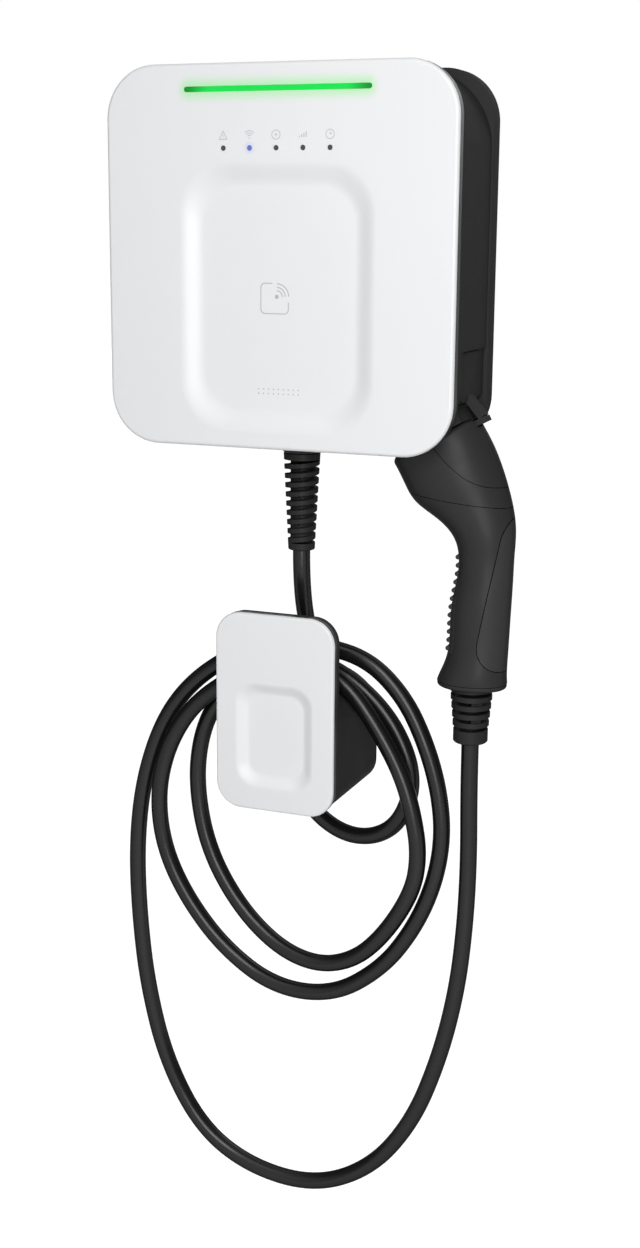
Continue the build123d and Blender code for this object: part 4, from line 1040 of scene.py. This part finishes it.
# Control points of the cable's run between the gland and the plug, in metres
CABLE_ROUTE = [
    (0.0, -0.050, -0.278), (0.001, -0.021, -0.330), (-0.008, -0.019, -0.385), (-0.0145, -0.020, -0.430),
    (-0.008, -0.020, -0.461), (0.008, -0.021, -0.478), (0.031, -0.024, -0.488), (0.055, -0.028, -0.487),
    (0.077, -0.033, -0.475), (0.091, -0.038, -0.455), (0.098, -0.041, -0.431), (0.094, -0.042, -0.404),
    (0.076, -0.042, -0.372), (0.0464, -0.042, -0.346), (0.0162, -0.042, -0.3315), (-0.0162, -0.042, -0.3315),
    (-0.047, -0.042, -0.345), (-0.080, -0.042, -0.372), (-0.097, -0.043, -0.408), (-0.101, -0.045, -0.455),
    (-0.089, -0.047, -0.511), (-0.059, -0.049, -0.559), (-0.020, -0.052, -0.591), (0.019, -0.054, -0.601),
    (0.054, -0.056, -0.589), (0.082, -0.058, -0.560), (0.106, -0.059, -0.518), (0.111, -0.059, -0.484),
    (0.105, -0.059, -0.449), (0.094, -0.058, -0.416), (0.073, -0.058, -0.380), (0.0464, -0.058, -0.3462),
    (0.0162, -0.058, -0.3315), (-0.0162, -0.058, -0.3315), (-0.050, -0.058, -0.344), (-0.084, -0.058, -0.366),
    (-0.108, -0.057, -0.392), (-0.126, -0.056, -0.428), (-0.134, -0.055, -0.470), (-0.128, -0.054, -0.516),
    (-0.106, -0.053, -0.560), (-0.070, -0.053, -0.601), (-0.022, -0.053, -0.629), (0.033, -0.053, -0.627),
    (0.078, -0.053, -0.594), (0.106, -0.053, -0.553), (0.123, -0.052, -0.510), (0.129, -0.051, -0.468),
    (0.124, -0.050, -0.428), (0.112, -0.050, -0.390), (0.093, -0.050, -0.353), (0.062, -0.050, -0.324),
    (0.022, -0.050, -0.315), (-0.018, -0.050, -0.316), (-0.058, -0.050, -0.329), (-0.092, -0.050, -0.351),
    (-0.119, -0.050, -0.380), (-0.138, -0.050, -0.416), (-0.152, -0.050, -0.464), (-0.158, -0.050, -0.520),
    (-0.157, -0.049, -0.582), (-0.150, -0.049, -0.650), (-0.132, -0.049, -0.722), (-0.097, -0.049, -0.783),
    (-0.048, -0.049, -0.812), (0.015, -0.049, -0.817), (0.069, -0.049, -0.788), (0.107, -0.049, -0.735),
    (0.130, -0.049, -0.670), (0.144, -0.049, -0.605), (0.150, -0.050, -0.543), (0.1515, -0.050, -0.485),
]


class WALLBOX_OT_cable(Operator):
    """Lay the charging cable from the gland over the holder to the plug"""
    bl_idname = "wallbox.cable"
    bl_label = "Charging cable"

    def execute(self, context):
        cable = context.scene.wallbox_cable
        start, end = (((low.x + high.x) / 2, (low.y + high.y) / 2, low.z)
                      for low, high in (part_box("cable_boot"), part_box("connector_boot")))
        last_turn = (end[0], end[1], end[2] - cable.straight)
        points = [start] + CABLE_ROUTE + [last_turn, end]
        curve = bpy.data.curves.new("charging_cable", "CURVE")
        curve.dimensions = "3D"
        spline = curve.splines.new("NURBS")
        spline.points.add(len(points) - 1)
        for point, place in zip(spline.points, points):
            point.co = (*place, 1.0)
        spline.order_u = 3
        spline.use_endpoint_u = True
        spline.resolution_u = 10
        curve.bevel_depth = cable.radius
        curve.bevel_resolution = 8
        curve.use_fill_caps = True
        sheath = moulded("Cable sheath", cable.black, rough=0.25, grain=2800.0, bump=0.05, specular=0.36,
                         drift=0.08, rim=0.03)
        piece = settle(painted(link("charging_cable", curve), sheath), "charge_cable")
        return {"FINISHED"}


class WALLBOX_OT_inside(Operator):
    """Finish the screws and the pieces inside the housing"""
    bl_idname = "wallbox.inside"
    bl_label = "Inside pieces"

    def execute(self, context):
        inside = context.scene.wallbox_inside
        board = board_material()
        steel = plated("Zinc plated steel", inside.steel, rough=0.32)
        grey = moulded("Device grey", inside.grey, rough=0.5, grain=2000.0, bump=0.1)
        seal = moulded("Seal rubber", inside.seal, rough=0.65, grain=1800.0, bump=0.15)
        nut = moulded("Nut black", inside.nut, rough=0.5, grain=2400.0, bump=0.12)
        core = moulded("Core blue", inside.core, rough=0.42, grain=2400.0, bump=0.05)
        finishes = {"circuit_board": board, "screw_steel": steel, "device_grey": grey, "seal_rubber": seal,
                    "boot_rubber": seal, "black_case": nut, "core_blue": core}
        for node, piece in NODES.items():
            if not piece.hide_render and NODE_SLOT[node] in finishes:
                painted(piece, finishes[NODE_SLOT[node]])
        return {"FINISHED"}


# Each lamp: its place, the point it faces, its width and height, and its power in watts
LAMPS = {
    "key_lamp": ((0.66, -1.42, 0.20), (0.0, 0.0, -0.15), (0.6, 1.6), 19.2),
    "fill_lamp": ((-1.7, -1.9, 0.5), (0.0, 0.0, -0.2), (1.3, 1.9), 2.5),
    "top_lamp": ((0.1, -1.2, 1.9), (0.0, 0.0, -0.2), (1.6, 0.9), 4.0),
    "back_lamp": ((0.6, 1.9, 0.7), (0.0, 0.0, -0.2), (1.2, 1.2), 9.0),
}


class WALLBOX_OT_stage(Operator):
    """Set the camera, the floor, the pale surroundings and the soft lamps"""
    bl_idname = "wallbox.stage"
    bl_label = "Stage"

    def execute(self, context):
        stage = context.scene.wallbox_stage
        place_camera(context.scene, stage)
        place_floor(stage)
        light_world(context.scene, stage)
        for name, (where, target, size, power) in LAMPS.items():
            place_lamp(name, where, target, size, power)
        context.scene.view_settings.view_transform = "Standard"
        return {"FINISHED"}


def place_camera(scene, stage):
    yaw, pitch, roll = stage.yaw, stage.pitch, stage.roll
    forward = Vector((-math.sin(yaw) * math.cos(pitch), math.cos(yaw) * math.cos(pitch), -math.sin(pitch)))
    right = forward.cross(Vector((0.0, 0.0, 1.0))).normalized()
    up = right.cross(forward)
    rolled_right = math.cos(roll) * right + math.sin(roll) * up
    rolled_up = math.cos(roll) * up - math.sin(roll) * right
    data = bpy.data.cameras.new("photo_camera")
    data.lens = stage.lens
    data.sensor_width = stage.sensor
    data.clip_end = stage.clip
    camera = link("photo_camera", data)
    turn = Matrix((rolled_right, rolled_up, -forward)).transposed().to_4x4()
    camera.matrix_world = Matrix.Translation(Vector(stage.camera)) @ turn
    scene.camera = camera


def place_floor(stage):
    """Floor that is pale to the camera and in reflections, and throws less light back at the object."""
    level, half = CAD_BOX[0].z - stage.floor_gap, stage.floor_half
    mesh = bpy.data.meshes.new("floor")
    mesh.from_pydata([(-half, -half, level), (half, -half, level), (half, half, level), (-half, half, level)],
                     [], [(0, 1, 2, 3)])
    floor = link("floor", mesh)
    material, tree, shader = new_material("Pale floor")
    seen = add(tree, "ShaderNodeLightPath")
    rays = maths(tree, "MAXIMUM", seen.outputs["Is Camera Ray"], seen.outputs["Is Glossy Ray"])
    feed(shader, {
        "Base Color": (*stage.floor_white, 1.0),
        "Roughness": 0.9,
        "Emission Color": WHITE,
        "Emission Strength": maths(tree, "MULTIPLY", rays, stage.floor_shown)})
    painted(floor, material)


def light_world(scene, stage):
    """Surroundings that are white to the camera. In reflections and as light they fall off towards the two
    sides, as between dark studio flags, and as light they are dimmer throughout."""
    world = bpy.data.worlds.new("studio")
    scene.world = world
    world.use_nodes = True
    tree = world.node_tree
    seen = add(tree, "ShaderNodeLightPath")
    mirrored = maths(tree, "MAXIMUM", seen.outputs["Is Glossy Ray"], seen.outputs["Is Transmission Ray"])
    level = ramp(tree, mirrored, 0.0, 1.0, stage.ambient, 1.0)
    sideways = maths(tree, "ABSOLUTE", axis(tree, coordinates(tree, "Generated"), "X"))
    flag = ramp(tree, sideways, stage.flag_start, stage.flag_end, start=1.0, end=stage.flag_level,
                curve="SMOOTHSTEP")
    shaded = maths(tree, "MULTIPLY", level, flag)
    feed(tree.nodes["Background"], {
        "Color": WHITE,
        "Strength": maths(tree, "MAXIMUM", seen.outputs["Is Camera Ray"], shaded)})


def place_lamp(name, where, target, size, power):
    data = bpy.data.lights.new(name, "AREA")
    data.shape = "RECTANGLE"
    data.size, data.size_y = size
    data.energy = power
    lamp = link(name, data)
    lamp.location = where
    lamp.rotation_euler = (Vector(target) - Vector(where)).to_track_quat("-Z", "Y").to_euler()


class WALLBOX_PT_panel(Panel):
    """Lists the steps that build the wallbox"""
    bl_label = "Wallbox"
    bl_idname = "WALLBOX_PT_panel"
    bl_space_type = "VIEW_3D"
    bl_region_type = "UI"
    bl_category = "Wallbox"

    def draw(self, context):
        column = self.layout.column()
        for step in STEPS:
            column.operator(step.bl_idname)


STEPS = (
    WALLBOX_OT_surface_groups, WALLBOX_OT_front_shell, WALLBOX_OT_lights, WALLBOX_OT_marks,
    WALLBOX_OT_housing, WALLBOX_OT_gland, WALLBOX_OT_plug, WALLBOX_OT_holder, WALLBOX_OT_cable,
    WALLBOX_OT_inside, WALLBOX_OT_stage,
)
CLASSES = (*SETTINGS.values(), *STEPS, WALLBOX_PT_panel)


def register():
    for entry in CLASSES:
        bpy.utils.register_class(entry)
    for name, group in SETTINGS.items():
        setattr(bpy.types.Scene, name, PointerProperty(type=group))


def unregister():
    for name in SETTINGS:
        delattr(bpy.types.Scene, name)
    for entry in reversed(CLASSES):
        bpy.utils.unregister_class(entry)


def main():
    register()
    bpy.ops.wallbox.surface_groups()
    bpy.ops.wallbox.front_shell()
    bpy.ops.wallbox.lights()
    bpy.ops.wallbox.marks()
    bpy.ops.wallbox.housing()
    bpy.ops.wallbox.gland()
    bpy.ops.wallbox.plug()
    bpy.ops.wallbox.holder()
    bpy.ops.wallbox.cable()
    bpy.ops.wallbox.inside()
    bpy.ops.wallbox.stage()


if __name__ == "__main__":
    main()
